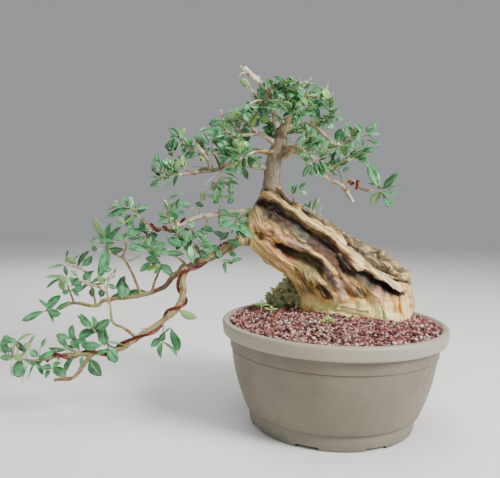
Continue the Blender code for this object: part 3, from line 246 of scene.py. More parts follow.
def buildGrain():  # streaks that run along the wood: long in the third coordinate, narrow across it
    group, entry, leave = newGroup(
        "woodGrain",
        [("Vector", "NodeSocketVector", None), ("Across", "NodeSocketFloat", 300.0),
         ("Along", "NodeSocketFloat", 20.0), ("Wander", "NodeSocketFloat", 0.004)],
        [("Streaks", "NodeSocketFloat"), ("Cracks", "NodeSocketFloat"), ("Height", "NodeSocketFloat")])
    place = entry.outputs["Vector"]
    drift = addNode(group, "ShaderNodeTexNoise", Vector=place, Scale=28.0, Detail=2.0)
    centred = addNode(group, "ShaderNodeVectorMath", {"operation": "SUBTRACT"})
    group.links.new(drift.outputs[1], centred.inputs[0])
    centred.inputs[1].default_value = (0.5, 0.5, 0.5)
    pushed = addNode(group, "ShaderNodeVectorMath", {"operation": "SCALE"})
    group.links.new(centred.outputs[0], pushed.inputs[0])
    group.links.new(entry.outputs["Wander"], pushed.inputs["Scale"])
    moved = addNode(group, "ShaderNodeVectorMath", {"operation": "ADD"})
    group.links.new(place, moved.inputs[0])
    group.links.new(pushed.outputs[0], moved.inputs[1])
    sizes = addNode(group, "ShaderNodeCombineXYZ", X=entry.outputs["Across"],
                    Y=entry.outputs["Across"], Z=entry.outputs["Along"])
    scaled = addNode(group, "ShaderNodeVectorMath", {"operation": "MULTIPLY"})
    group.links.new(moved.outputs[0], scaled.inputs[0])
    group.links.new(sizes.outputs[0], scaled.inputs[1])
    streak = addNode(group, "ShaderNodeTexNoise", Vector=scaled.outputs[0], Scale=1.0, Detail=6.0,
                     Roughness=0.62)
    crack = addNode(group, "ShaderNodeTexVoronoi", {"feature": "DISTANCE_TO_EDGE"},
                    Vector=scaled.outputs[0], Scale=0.55)
    cracks = spread(group, crack.outputs[0], 0.0, 0.09, 1.0, 0.0)
    group.links.new(streak.outputs[0], leave.inputs["Streaks"])
    group.links.new(cracks, leave.inputs["Cracks"])
    height = combine(group, "SUBTRACT", streak.outputs[0], times(group, cracks, 0.25))
    group.links.new(height, leave.inputs["Height"])
    return group


groups = {"mottle": buildMottle(), "woodGrain": buildGrain()}


def useGroup(tree, name, **inputs):
    made = addNode(tree, "ShaderNodeGroup", {"node_tree": groups[name]}, **inputs)
    return made.outputs


def startMaterial(name, **sockets):
    material = bpy.data.materials.new(name)
    material.use_nodes = True
    tree = material.node_tree
    shader = tree.nodes["Principled BSDF"]
    for key, value in sockets.items():
        shader.inputs[key.replace("_", " ")].default_value = value
    return material, tree


def finishMaterial(material, colour, height, distance, roughness=None):
    tree = material.node_tree
    shader = tree.nodes["Principled BSDF"]
    bump = addNode(tree, "ShaderNodeBump", Height=height, Distance=distance, Strength=1.0)
    tree.links.new(bump.outputs[0], shader.inputs["Normal"])
    tree.links.new(colour, shader.inputs["Base Color"])
    if roughness:
        tree.links.new(roughness, shader.inputs["Roughness"])
    return material


def attributeOf(tree, name, output="Fac"):
    return addNode(tree, "ShaderNodeAttribute", {"attribute_name": name}).outputs[output]


def objectPlace(tree):
    return addNode(tree, "ShaderNodeTexCoord").outputs["Object"]


def carvedWoodMaterial():  # painted old wood with fine fibres, and flaky plates where the rough value is 1
    tones = {"crack": tone(34, 24, 18), "plate": tone(206, 176, 120), "grey": tone(112, 96, 70)}
    material, tree = startMaterial("carvedWood", Roughness=0.7)
    flow = attributeOf(tree, "grainPlace", "Vector")
    grain = useGroup(tree, "woodGrain", Vector=flow, Across=360.0, Along=34.0, Wander=0.006)
    place = objectPlace(tree)
    mottle = useGroup(tree, "mottle", Vector=place, Scale=70.0)
    paint = attributeOf(tree, "paint", "Color")
    calm = attributeOf(tree, "calm")
    darker = retinted(tree, paint, 0.42, 1.25)
    lighter = retinted(tree, paint, 1.3, 0.85)
    streak = blendTones(tree, spread(tree, grain["Streaks"], 0.33, 0.67), darker, lighter)
    colour = blendTones(tree, spread(tree, mottle["Value"], 0.52, 0.72, 0.0, 0.45), streak, darker)
    colour = blendTones(tree, calm, colour, paint)
    colour = blendTones(tree, spread(tree, mottle["Fine"], 0.6, 0.74, 0.0, 0.5), colour, lighter)
    bark = attributeOf(tree, "rough")
    flake = useGroup(tree, "woodGrain", Vector=flow, Across=240.0, Along=95.0, Wander=0.012)
    flakes = blendTones(tree, spread(tree, flake["Streaks"], 0.4, 0.62), tones["grey"], tones["plate"])
    flakes = blendTones(tree, 0.8, flakes, paint)
    flakes = blendTones(tree, spread(tree, flake["Streaks"], 0.47, 0.36, 0.0, 0.75), flakes, tones["crack"])
    colour = blendTones(tree, times(tree, bark, 0.85), colour, flakes)
    gaps = times(tree, flake["Cracks"], bark)
    colour = blendTones(tree, times(tree, gaps, 0.75), colour, tones["crack"])
    fine = times(tree, grain["Cracks"], 0.3)
    colour = blendTones(tree, times(tree, fine, spread(tree, calm, 1.0, 0.0)), colour, darker)
    roughness = spread(tree, grain["Streaks"], 0.3, 0.7, 0.82, 0.5)
    plates = times(tree, flake["Height"], times(tree, bark, 2.2))
    lumps = plus(tree, plates, times(tree, mottle["Fine"], 0.5))
    height = plus(tree, grain["Height"], lumps)
    return finishMaterial(material, colour, height, 0.0013, roughness)


def branchBarkMaterial():  # smooth young bark, wrinkled across and peeling in small brown patches
    tones = {"peel": tone(110, 62, 34), "pale": tone(204, 186, 140), "moss": tone(120, 124, 78)}
    material, tree = startMaterial("branchBark", Roughness=0.66)
    flow = attributeOf(tree, "grainPlace", "Vector")
    grain = useGroup(tree, "woodGrain", Vector=flow, Across=700.0, Along=95.0, Wander=0.004)
    place = objectPlace(tree)
    mottle = useGroup(tree, "mottle", Vector=place, Scale=85.0)
    paint = attributeOf(tree, "paint", "Color")
    darker = retinted(tree, paint, 0.55, 1.15)
    lighter = retinted(tree, paint, 1.35, 0.8)
    colour = blendTones(tree, spread(tree, grain["Streaks"], 0.32, 0.68), darker, lighter)
    bark = attributeOf(tree, "rough")
    patches = times(tree, spread(tree, mottle["Value"], 0.51, 0.6), bark)
    colour = blendTones(tree, times(tree, patches, 1.3), colour, tones["peel"])
    colour = blendTones(tree, spread(tree, mottle["Value"], 0.42, 0.3, 0.0, 0.4), colour, tones["moss"])
    colour = blendTones(tree, spread(tree, mottle["Fine"], 0.6, 0.7, 0.0, 0.55), colour, tones["pale"])
    colour = blendTones(tree, times(tree, grain["Cracks"], 0.35), colour, darker)
    roughness = spread(tree, grain["Streaks"], 0.3, 0.7, 0.8, 0.5)
    height = plus(tree, grain["Height"], times(tree, mottle["Fine"], 0.8))
    return finishMaterial(material, colour, height, 0.0007, roughness)


def plasticMaterial():
    tones = {"body": tone(102, 93, 79), "dusty": tone(118, 109, 93), "scuffed": tone(84, 80, 70),
             "lip": tone(160, 152, 134), "foot": tone(124, 126, 112)}
    material, tree = startMaterial("mattPlastic", Roughness=0.5)
    place = objectPlace(tree)
    mottle = useGroup(tree, "mottle", Vector=place, Scale=14.0)
    height = addNode(tree, "ShaderNodeSeparateXYZ", Vector=place).outputs["Z"]
    colour = blendTones(tree, spread(tree, mottle["Value"], 0.35, 0.7), tones["body"], tones["dusty"])
    # painted highlight: the lip's upper part is lighter, as if it caught more light
    colour = blendTones(tree, spread(tree, height, 0.1062, 0.1084, 0.0, 0.75), colour, tones["lip"])
    colour = blendTones(tree, spread(tree, height, 0.0215, 0.0195, 0.0, 0.25), colour, tones["foot"])
    low = spread(tree, height, 0.012, 0.0, 0.0, 0.45)
    stain = times(tree, low, spread(tree, mottle["Fine"], 0.4, 0.62))
    colour = blendTones(tree, stain, colour, tones["scuffed"])
    roughness = spread(tree, mottle["Fine"], 0.3, 0.7, 0.42, 0.6)
    grit = addNode(tree, "ShaderNodeTexNoise", Vector=place, Scale=1400.0, Detail=2.0)
    return finishMaterial(material, colour, grit.outputs[0], 0.00008, roughness)


def gritMaterial():
    material, tree = startMaterial("lavaGrit", Roughness=0.92)
    place = objectPlace(tree)
    mottle = useGroup(tree, "mottle", Vector=place, Scale=420.0)
    paint = attributeOf(tree, "paint", "Color")
    dark = retinted(tree, paint, 0.45, 1.1)
    light = retinted(tree, paint, 1.3, 0.9)
    colour = blendTones(tree, spread(tree, mottle["Value"], 0.35, 0.65), dark, light)
    pores = addNode(tree, "ShaderNodeTexVoronoi", Vector=place, Scale=900.0)
    height = plus(tree, pores.outputs[0], mottle["Fine"])
    return finishMaterial(material, colour, height, 0.0007)


def leafMaterial():
    tones = {
        "face": tone(22, 98, 42), "faceBlue": tone(80, 156, 104), "under": tone(120, 152, 94),
        "rib": tone(150, 190, 128), "lime": tone(150, 192, 70), "dark": tone(10, 46, 22),
        "edge": tone(118, 150, 66),
    }
    material, tree = startMaterial("leafBlade", Roughness=0.4, Coat_Weight=0.32, Coat_Roughness=0.28)
    across = combine(tree, "ABSOLUTE", attributeOf(tree, "leafAcross"))
    along = attributeOf(tree, "leafAlong")
    under = attributeOf(tree, "leafUnder")
    age = attributeOf(tree, "leafAge")
    mottle = useGroup(tree, "mottle", Vector=objectPlace(tree), Scale=130.0)
    colour = blendTones(tree, spread(tree, mottle["Value"], 0.36, 0.64), tones["face"], tones["faceBlue"])
    colour = blendTones(tree, spread(tree, age, 0.35, 0.0, 0.0, 0.75), colour, tones["dark"])
    colour = blendTones(tree, spread(tree, age, 0.7, 1.0), colour, tones["lime"])
    slanted = combine(tree, "SUBTRACT", times(tree, along, 9.0), times(tree, across, 3.2))
    wave = combine(tree, "ABSOLUTE", combine(tree, "SUBTRACT", combine(tree, "FRACT", slanted), 0.5))
    veins = times(tree, spread(tree, wave, 0.1, 0.0), spread(tree, across, 0.95, 0.2, 0.0, 0.4))
    colour = blendTones(tree, veins, colour, tones["rib"])
    rib = spread(tree, across, 0.13, 0.03)
    colour = blendTones(tree, times(tree, rib, 0.6), colour, tones["rib"])
    colour = blendTones(tree, spread(tree, across, 0.86, 1.0, 0.0, 0.45), colour, tones["edge"])
    below = blendTones(tree, rib, tones["under"], tones["rib"])
    colour = blendTones(tree, times(tree, under, 0.85), colour, below)
    gloss = spread(tree, mottle["Fine"], 0.3, 0.7, 0.3, 0.46)
    roughness = plus(tree, gloss, times(tree, under, 0.3))
    raised = plus(tree, times(tree, rib, -1.0), times(tree, veins, -0.6))
    height = plus(tree, raised, times(tree, mottle["Fine"], 0.5))
    return finishMaterial(material, colour, height, 0.0003, roughness)


def wireMaterial():
    tones = {"red": tone(120, 44, 34), "brown": tone(66, 26, 22), "bare": tone(196, 124, 106)}
    material, tree = startMaterial("anodisedWire", Metallic=0.6, Roughness=0.3)
    mottle = useGroup(tree, "mottle", Vector=objectPlace(tree), Scale=90.0)
    # painted shade: brown patches laid by mottle over the red
    colour = blendTones(tree, spread(tree, mottle["Value"], 0.35, 0.62), tones["brown"], tones["red"])
    # painted glints: the pale bare patches
    colour = blendTones(tree, spread(tree, mottle["Fine"], 0.62, 0.72, 0.0, 0.7), colour, tones["bare"])
    roughness = spread(tree, mottle["Fine"], 0.3, 0.7, 0.26, 0.46)
    return finishMaterial(material, colour, mottle["Fine"], 0.0001, roughness)


def mossMaterial():
    tones = {"grey": tone(240, 238, 204), "green": tone(178, 200, 122), "brown": tone(124, 112, 78)}
    material, tree = startMaterial("creepingGreen", Roughness=0.9)
    mottle = useGroup(tree, "mottle", Vector=objectPlace(tree), Scale=150.0)
    colour = blendTones(tree, spread(tree, mottle["Value"], 0.4, 0.6), tones["green"], tones["grey"])
    colour = blendTones(tree, attributeOf(tree, "leafAge"), colour, tones["brown"])
    return finishMaterial(material, colour, mottle["Fine"], 0.0005)


materials = {
    "plastic": plasticMaterial(),
    "grit": gritMaterial(),
    "stump": carvedWoodMaterial(),
    "bark": branchBarkMaterial(),
    "leaf": leafMaterial(),
    "wire": wireMaterial(),
    "moss": mossMaterial(),
}
print("materials ready")


# Mesh helpers

def layersOf(work):  # the values that every vertex of wood and leaves carries
    layers = work.verts.layers
    made = {
        "paint": layers.float_color.get("paint") or layers.float_color.new("paint"),
        "grainPlace": layers.float_vector.get("grainPlace") or layers.float_vector.new("grainPlace"),
    }
    for name in ("rough", "leafAcross", "leafAlong", "leafUnder", "leafAge"):
        made[name] = layers.float.get(name) or layers.float.new(name)
    return made


def finishPiece(work, name, finishes, replaced, smooth=True):
    mesh = bpy.data.meshes.new(name)
    work.normal_update()
    work.to_mesh(mesh)
    work.free()
    mesh.transform(Matrix.Translation(potPlace))
    if smooth:
        mesh.shade_smooth()
    for finish in finishes:
        mesh.materials.append(materials[finish])
    piece = bpy.data.objects.new(name, mesh)
    bpy.context.scene.collection.objects.link(piece)
    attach(piece, "root")
    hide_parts(*replaced)
    return piece


def curveThrough(places, sizes, steps):  # a smooth route through the places, with the sizes eased
    padded = [places[0] * 2 - places[1]] + places + [places[-1] * 2 - places[-2]]
    route = []
    for span in range(len(places) - 1):
        before, here, there, after = padded[span:span + 4]
        for step in range(steps):
            t = step / steps
            place = 0.5 * (2 * here + (there - before) * t
                           + (2 * before - 5 * here + 4 * there - after) * t * t
                           + (3 * here - before - 3 * there + after) * t ** 3)
            route.append((place, sizes[span] + (sizes[span + 1] - sizes[span]) * t))
    route.append((places[-1], sizes[-1]))
    return route


def spreadSizes(sizes, count):
    if len(sizes) == count:
        return list(sizes)
    first, last = sizes[0], sizes[-1]
    return [first + (last - first) * index / (count - 1) for index in range(count)]


def resample(route, spacing):  # the same route with its points an even distance apart
    lengths = [0.0]
    for (here, _), (there, _) in zip(route, route[1:]):
        lengths.append(lengths[-1] + (there - here).length)
    count = max(3, int(lengths[-1] / spacing) + 1)
    made, index = [], 0
    for step in range(count + 1):
        distance = lengths[-1] * step / count
        while index < len(route) - 2 and lengths[index + 1] < distance:
            index += 1
        t = (distance - lengths[index]) / max(1e-9, lengths[index + 1] - lengths[index])
        (here, thickHere), (there, thickThere) = route[index], route[index + 1]
        made.append((here.lerp(there, t), thickHere + (thickThere - thickHere) * t))
    return made, lengths[-1]


def smoothLimb(route, steps, spacing):  # a route of (place, thickness), rounded and evened out
    smooth = curveThrough([place for place, _ in route], [size for _, size in route], steps)
    return resample(smooth, spacing)


def framesAlong(places):
    across = Vector((0, 0, 1))
    frames = []
    for index in range(len(places)):
        ahead = (places[min(index + 1, len(places) - 1)] - places[max(index - 1, 0)]).normalized()
        across = (across - ahead * across.dot(ahead)).normalized()
        frames.append((across, ahead.cross(across)))
    return frames


def addLimb(work, route, sides, colour, knobs=0.1, flare=0.35, rounded=0.5, rough=0.6):
    # a stem along a route of (place, thickness): a cone's wall, cut into rings and laid on the route
    layers = layersOf(work)
    firstVert = len(work.verts)
    rings, length = route
    bmesh.ops.create_cone(work, cap_ends=True, segments=sides, radius1=1.0, radius2=1.0, depth=1.0)
    work.verts.ensure_lookup_table()
    posts = [edge for vert in work.verts[firstVert:] for edge in vert.link_edges
             if edge.other_vert(vert).co.z - vert.co.z > 0.5]
    bmesh.ops.subdivide_edges(work, edges=posts, cuts=len(rings) - 2, use_grid_fill=True)
    frames = framesAlong([place for place, _ in rings])
    work.verts.ensure_lookup_table()
    for vert in work.verts[firstVert:]:
        share = vert.co.z + 0.5
        turn = math.atan2(vert.co.y, vert.co.x)
        index = min(len(rings) - 1, round(share * (len(rings) - 1)))
        place, thickness = rings[index]
        first, second = frames[index]
        out = first * math.cos(turn) + second * math.sin(turn)
        distance = share * length
        radius = thickness / 2 * (1 + flare * math.exp(-distance / max(thickness, 1e-5)))
        lumps = noise.noise(place * 130 + out * 2.2) + 0.9 * noise.noise(place * 70 + out * 1.1)
        radius *= 1 + knobs * lumps
        ends = min(index, len(rings) - 1 - index)
        if ends == 0:
            radius *= rounded
        vert.co = place + out * radius
        vert[layers["grainPlace"]] = out * (thickness / 2) + Vector((0, 0, distance))
        shade = colour if not callable(colour) else colour(share, out)
        vert[layers["paint"]] = (*shade, 1.0)
        vert[layers["rough"]] = rough


# Pot: one turned plastic wall with a rolled lip, a band, a groove and a notched foot

pot = {
    "sides": 160,
    "wall": 0.003,
    "clear": 0.0003,
    "footRadius": 0.0962,
    "footThickness": 0.007,
    "floorUnder": 0.006,
    "floorTop": 0.0092,
    "grooveTop": 0.0208,
    "grooveRadius": 0.1052,
    "taper": 0.0184,
    "bow": 0.0028,
    "wallFrom": 0.0214,
    "wallTo": 0.0900,
    "wallSteps": 12,
    "wallHigh": 0.0905,
    "bandRadius": 0.1249,
    "bandLow": 0.0915,
    "neckFlare": 0.17,
    "notchCount": 8,
    "notchWidth": 0.026,
    "notchHeight": 0.004,
    "drainRadius": 0.006,
    "drainRing": 0.055,
    "drainCount": 5,
}


def wallRadius(height):
    share = (height - pot["grooveTop"]) / (pot["bandLow"] - pot["grooveTop"])
    return pot["grooveRadius"] + pot["taper"] * share + pot["bow"] * math.sin(math.pi * share)


def soilRadius(height):
    flare = max(0.0, height - pot["wallHigh"]) * pot["neckFlare"]
    return wallRadius(min(height, pot["wallHigh"])) + flare - pot["wall"] - pot["clear"]


def potOutline():
    foot = pot["footRadius"]
    points = [(0.0, pot["floorUnder"]), (foot - pot["footThickness"] - 0.001, pot["floorUnder"]),
              (foot - pot["footThickness"], pot["floorUnder"] - 0.001),
              (foot - pot["footThickness"], 0.0), (foot, 0.0), (foot + 0.0016, 0.0006),
              (foot + 0.0028, 0.002), (0.1012, 0.0176), (0.1008, 0.0188), (0.1010, 0.0196),
              (0.1034, 0.0201), (0.1046, 0.0206)]
    for step in range(pot["wallSteps"] + 1):
        height = pot["wallFrom"] + (pot["wallTo"] - pot["wallFrom"]) * step / pot["wallSteps"]
        points.append((wallRadius(height), height))
    points += [(0.1238, 0.0903), (0.1234, 0.0908), (0.1238, 0.0913), (0.1248, 0.0916),
               (pot["bandRadius"], 0.0924), (0.1252, 0.0975), (0.1256, 0.1030), (0.1258, 0.1062),
               (0.1262, 0.1070), (0.1296, 0.1068), (0.1316, 0.1070), (0.1329, 0.1077), (0.1336, 0.1090),
               (0.1340, 0.1110), (0.1344, 0.1140), (0.1348, 0.1170), (0.1350, 0.1192), (0.1349, 0.1208),
               (0.1343, 0.1222), (0.1331, 0.1231), (0.1314, 0.1235), (0.1296, 0.1235), (0.1284, 0.1232)]
    points += [(0.1276, 0.1226), (0.1270, 0.1216)]
    points += [(soilRadius(height) + pot["clear"], height) for height in (0.1185, 0.100, 0.085, 0.050)]
    return points + [(soilRadius(pot["floorTop"]), pot["floorTop"]), (0.0, pot["floorTop"])]


def cutFrom(piece, cutters):
    group = bpy.data.collections.new("cutters")
    bpy.context.scene.collection.children.link(group)
    for index, work in enumerate(cutters):
        mesh = bpy.data.meshes.new("cutter")
        work.to_mesh(mesh)
        work.free()
        group.objects.link(bpy.data.objects.new(f"cutter{index}", mesh))
    cut = piece.modifiers.new("cut", "BOOLEAN")
    cut.operation, cut.operand_type, cut.collection, cut.solver = "DIFFERENCE", "COLLECTION", group, "EXACT"
    bpy.context.view_layer.update()
    mesh = bpy.data.meshes.new_from_object(piece.evaluated_get(bpy.context.evaluated_depsgraph_get()))
    for other in list(group.objects) + [piece]:
        bpy.data.objects.remove(other, do_unlink=True)
    bpy.data.collections.remove(group)
    return mesh


def buildPot():
    work = bmesh.new()
    verts = [work.verts.new((radius, 0.0, height)) for radius, height in potOutline()]
    edges = [work.edges.new(pair) for pair in zip(verts, verts[1:])]
    bmesh.ops.spin(work, geom=verts + edges, axis=(0, 0, 1), cent=(0, 0, 0), angle=math.tau,
                   steps=pot["sides"], use_merge=True)
    bmesh.ops.remove_doubles(work, verts=work.verts, dist=0.00001)
    bmesh.ops.recalc_face_normals(work, faces=work.faces)
    cutters = []
    for index in range(pot["notchCount"]):
        turn = math.tau * (index + 0.5) / pot["notchCount"] - math.pi / 2
        notch = bmesh.new()
        bmesh.ops.create_cube(notch, size=1.0)
        bmesh.ops.scale(notch, vec=(0.03, pot["notchWidth"], pot["notchHeight"] * 2), verts=notch.verts)
        outward = [edge for edge in notch.edges if abs(edge.verts[0].co.x - edge.verts[1].co.x) > 0.01]
        bmesh.ops.bevel(notch, geom=outward, offset=0.0012, offset_type="OFFSET", affect="EDGES", segments=3,
                        profile=0.5, material=-1)
        bmesh.ops.translate(notch, vec=(pot["footRadius"] - 0.003, 0, 0), verts=notch.verts)
        bmesh.ops.rotate(notch, matrix=Matrix.Rotation(turn, 3, "Z"), verts=notch.verts)
        cutters.append(notch)
    for index in range(pot["drainCount"]):
        turn = math.tau * index / pot["drainCount"]
        drain = bmesh.new()
        bmesh.ops.create_cone(drain, cap_ends=True, segments=32, radius1=pot["drainRadius"],
                              radius2=pot["drainRadius"], depth=0.02)
        place = (pot["drainRing"] * math.cos(turn), pot["drainRing"] * math.sin(turn), pot["floorTop"])
        bmesh.ops.translate(drain, vec=place, verts=drain.verts)
        cutters.append(drain)
    mesh = bpy.data.meshes.new("potWall")
    work.to_mesh(mesh)
    work.free()
    rough = bpy.data.objects.new("potWall", mesh)
    bpy.context.scene.collection.objects.link(rough)
    mesh = cutFrom(rough, cutters)
    work = bmesh.new()
    work.from_mesh(mesh)
    piece = finishPiece(work, "trainingPot", ["plastic"], ["pot"])
    piece.data.set_sharp_from_angle(angle=math.radians(32))


# Soil: a bed of lava grit, each grain a small lump of its own

soil = {
    "rim": 0.1185,
    "heap": 0.0075,
    "bump": 0.0026,
    "bumpSpread": 0.013,
    "grainSpacing": 0.0036,
    "grainSize": (0.0022, 0.0046),
    "edgeRise": 0.0022,
    "edgeFrom": 0.104,
    "bedRadius": 0.1250,
    "bedSink": 0.0012,
    "grainRadius": 0.1264,
    "tones": [(tone(182, 122, 112), 5), (tone(152, 88, 80), 6), (tone(112, 60, 56), 4),
              (tone(206, 164, 150), 4), (tone(228, 204, 192), 2), (tone(78, 46, 44), 2)],
    "bedShadeTone": tone(64, 36, 34),
    "seed": 41,
}


def soilTop(x, y):
    share = min(1.0, math.hypot(x, y) / soilRadius(soil["rim"]))
    return soil["rim"] + soil["heap"] * (1.0 - share * share)


def bedTop(x, y):  # the heap, lifted where the grit lies against the lip, with soft bumps
    radius = math.hypot(x, y)
    share = min(1.0, max(0.0, (radius - soil["edgeFrom"]) / (soil["bedRadius"] - soil["edgeFrom"])))
    lift = soil["bump"] * noise.noise(Vector((x, y, 0.0)) / soil["bumpSpread"])
    return soilTop(x, y) + soil["edgeRise"] * share * share * (3 - 2 * share) + lift


def grainTone(draw):
    total = sum(weight for _, weight in soil["tones"])
    pick = draw.uniform(0, total)
    for colour, weight in soil["tones"]:
        pick -= weight
        if pick <= 0:
            break
    return tuple(value * draw.uniform(0.8, 1.2) for value in colour)


def buildSoil(insideStump):
    draw = random.Random(soil["seed"])
    work = bmesh.new()
    layers = layersOf(work)
    radius = soil["bedRadius"]
    bmesh.ops.create_circle(work, cap_ends=True, cap_tris=False, segments=96, radius=radius)
    for step in range(1, 14):
        faces = [face for face in work.faces if len(face.verts) > 4]
        bmesh.ops.inset_region(work, faces=faces, thickness=radius / 15, use_even_offset=True)
    for vert in work.verts:
        vert.co.z = bedTop(vert.co.x, vert.co.y) - soil["bedSink"]
        # painted shade: the bed under the grains is dark, for the shaded gaps between them
        vert[layers["paint"]] = (*soil["bedShadeTone"], 1.0)
    rim = [edge for edge in work.edges if edge.is_boundary]
    walls = bmesh.ops.extrude_edge_only(work, edges=rim)["geom"]
    for vert in (item for item in walls if isinstance(item, bmesh.types.BMVert)):
        vert.co *= soilRadius(pot["floorTop"] + pot["clear"]) / radius
        vert.co.z = pot["floorTop"] + pot["clear"]
    bmesh.ops.holes_fill(work, edges=[edge for edge in work.edges if edge.is_boundary], sides=0)
    bmesh.ops.recalc_face_normals(work, faces=work.faces)
    grains = scatterGrains(work, layers, draw, soil["grainRadius"], insideStump)
    finishPiece(work, "gritBed", ["grit"], ["soil"], smooth=False)
    print("grit grains", grains)


def scatterGrains(work, layers, draw, radius, insideStump):
    template = bmesh.new()
    bmesh.ops.create_icosphere(template, subdivisions=1, radius=1.0)
    lump = bpy.data.meshes.new("grain")
    template.to_mesh(lump)
    template.free()
    count = 0
    spacing = soil["grainSpacing"]
    reach = int(radius / (0.87 * spacing)) + 1
    for row in range(-reach, reach + 1):
        for column in range(-reach, reach + 1):
            x = (column + 0.5 * (row % 2) + draw.uniform(-0.3, 0.3)) * spacing
            y = (row * 0.87 + draw.uniform(-0.3, 0.3)) * spacing
            size = draw.uniform(*soil["grainSize"]) / 2
            if math.hypot(x, y) > radius - size or insideStump(x, y):
                continue
            first = len(work.verts)
            work.from_mesh(lump)
            work.verts.ensure_lookup_table()
            turn = Matrix.Rotation(draw.uniform(0, 6.28), 3, "Z")
            turn = turn @ Matrix.Rotation(draw.uniform(0, 6.28), 3, "X")
            stretch = Vector((draw.uniform(0.8, 1.35), draw.uniform(0.75, 1.2), draw.uniform(0.7, 1.1)))
            middle = Vector((x, y, bedTop(x, y) + size * draw.uniform(-0.5, 0.7)))
            colour = (*grainTone(draw), 1.0)
            for vert in work.verts[first:]:
                dent = 1.0 + draw.uniform(-0.25, 0.2)
                shape = Vector([vert.co[axis] * stretch[axis] for axis in range(3)])
                vert.co = middle + turn @ shape * (size * dent)
                vert[layers["paint"]] = colour
            count += 1
    bpy.data.meshes.remove(lump)
    return count


# Stump: the slanting, hollowed slab of old wood, with a strip of bark along its upper edge and back

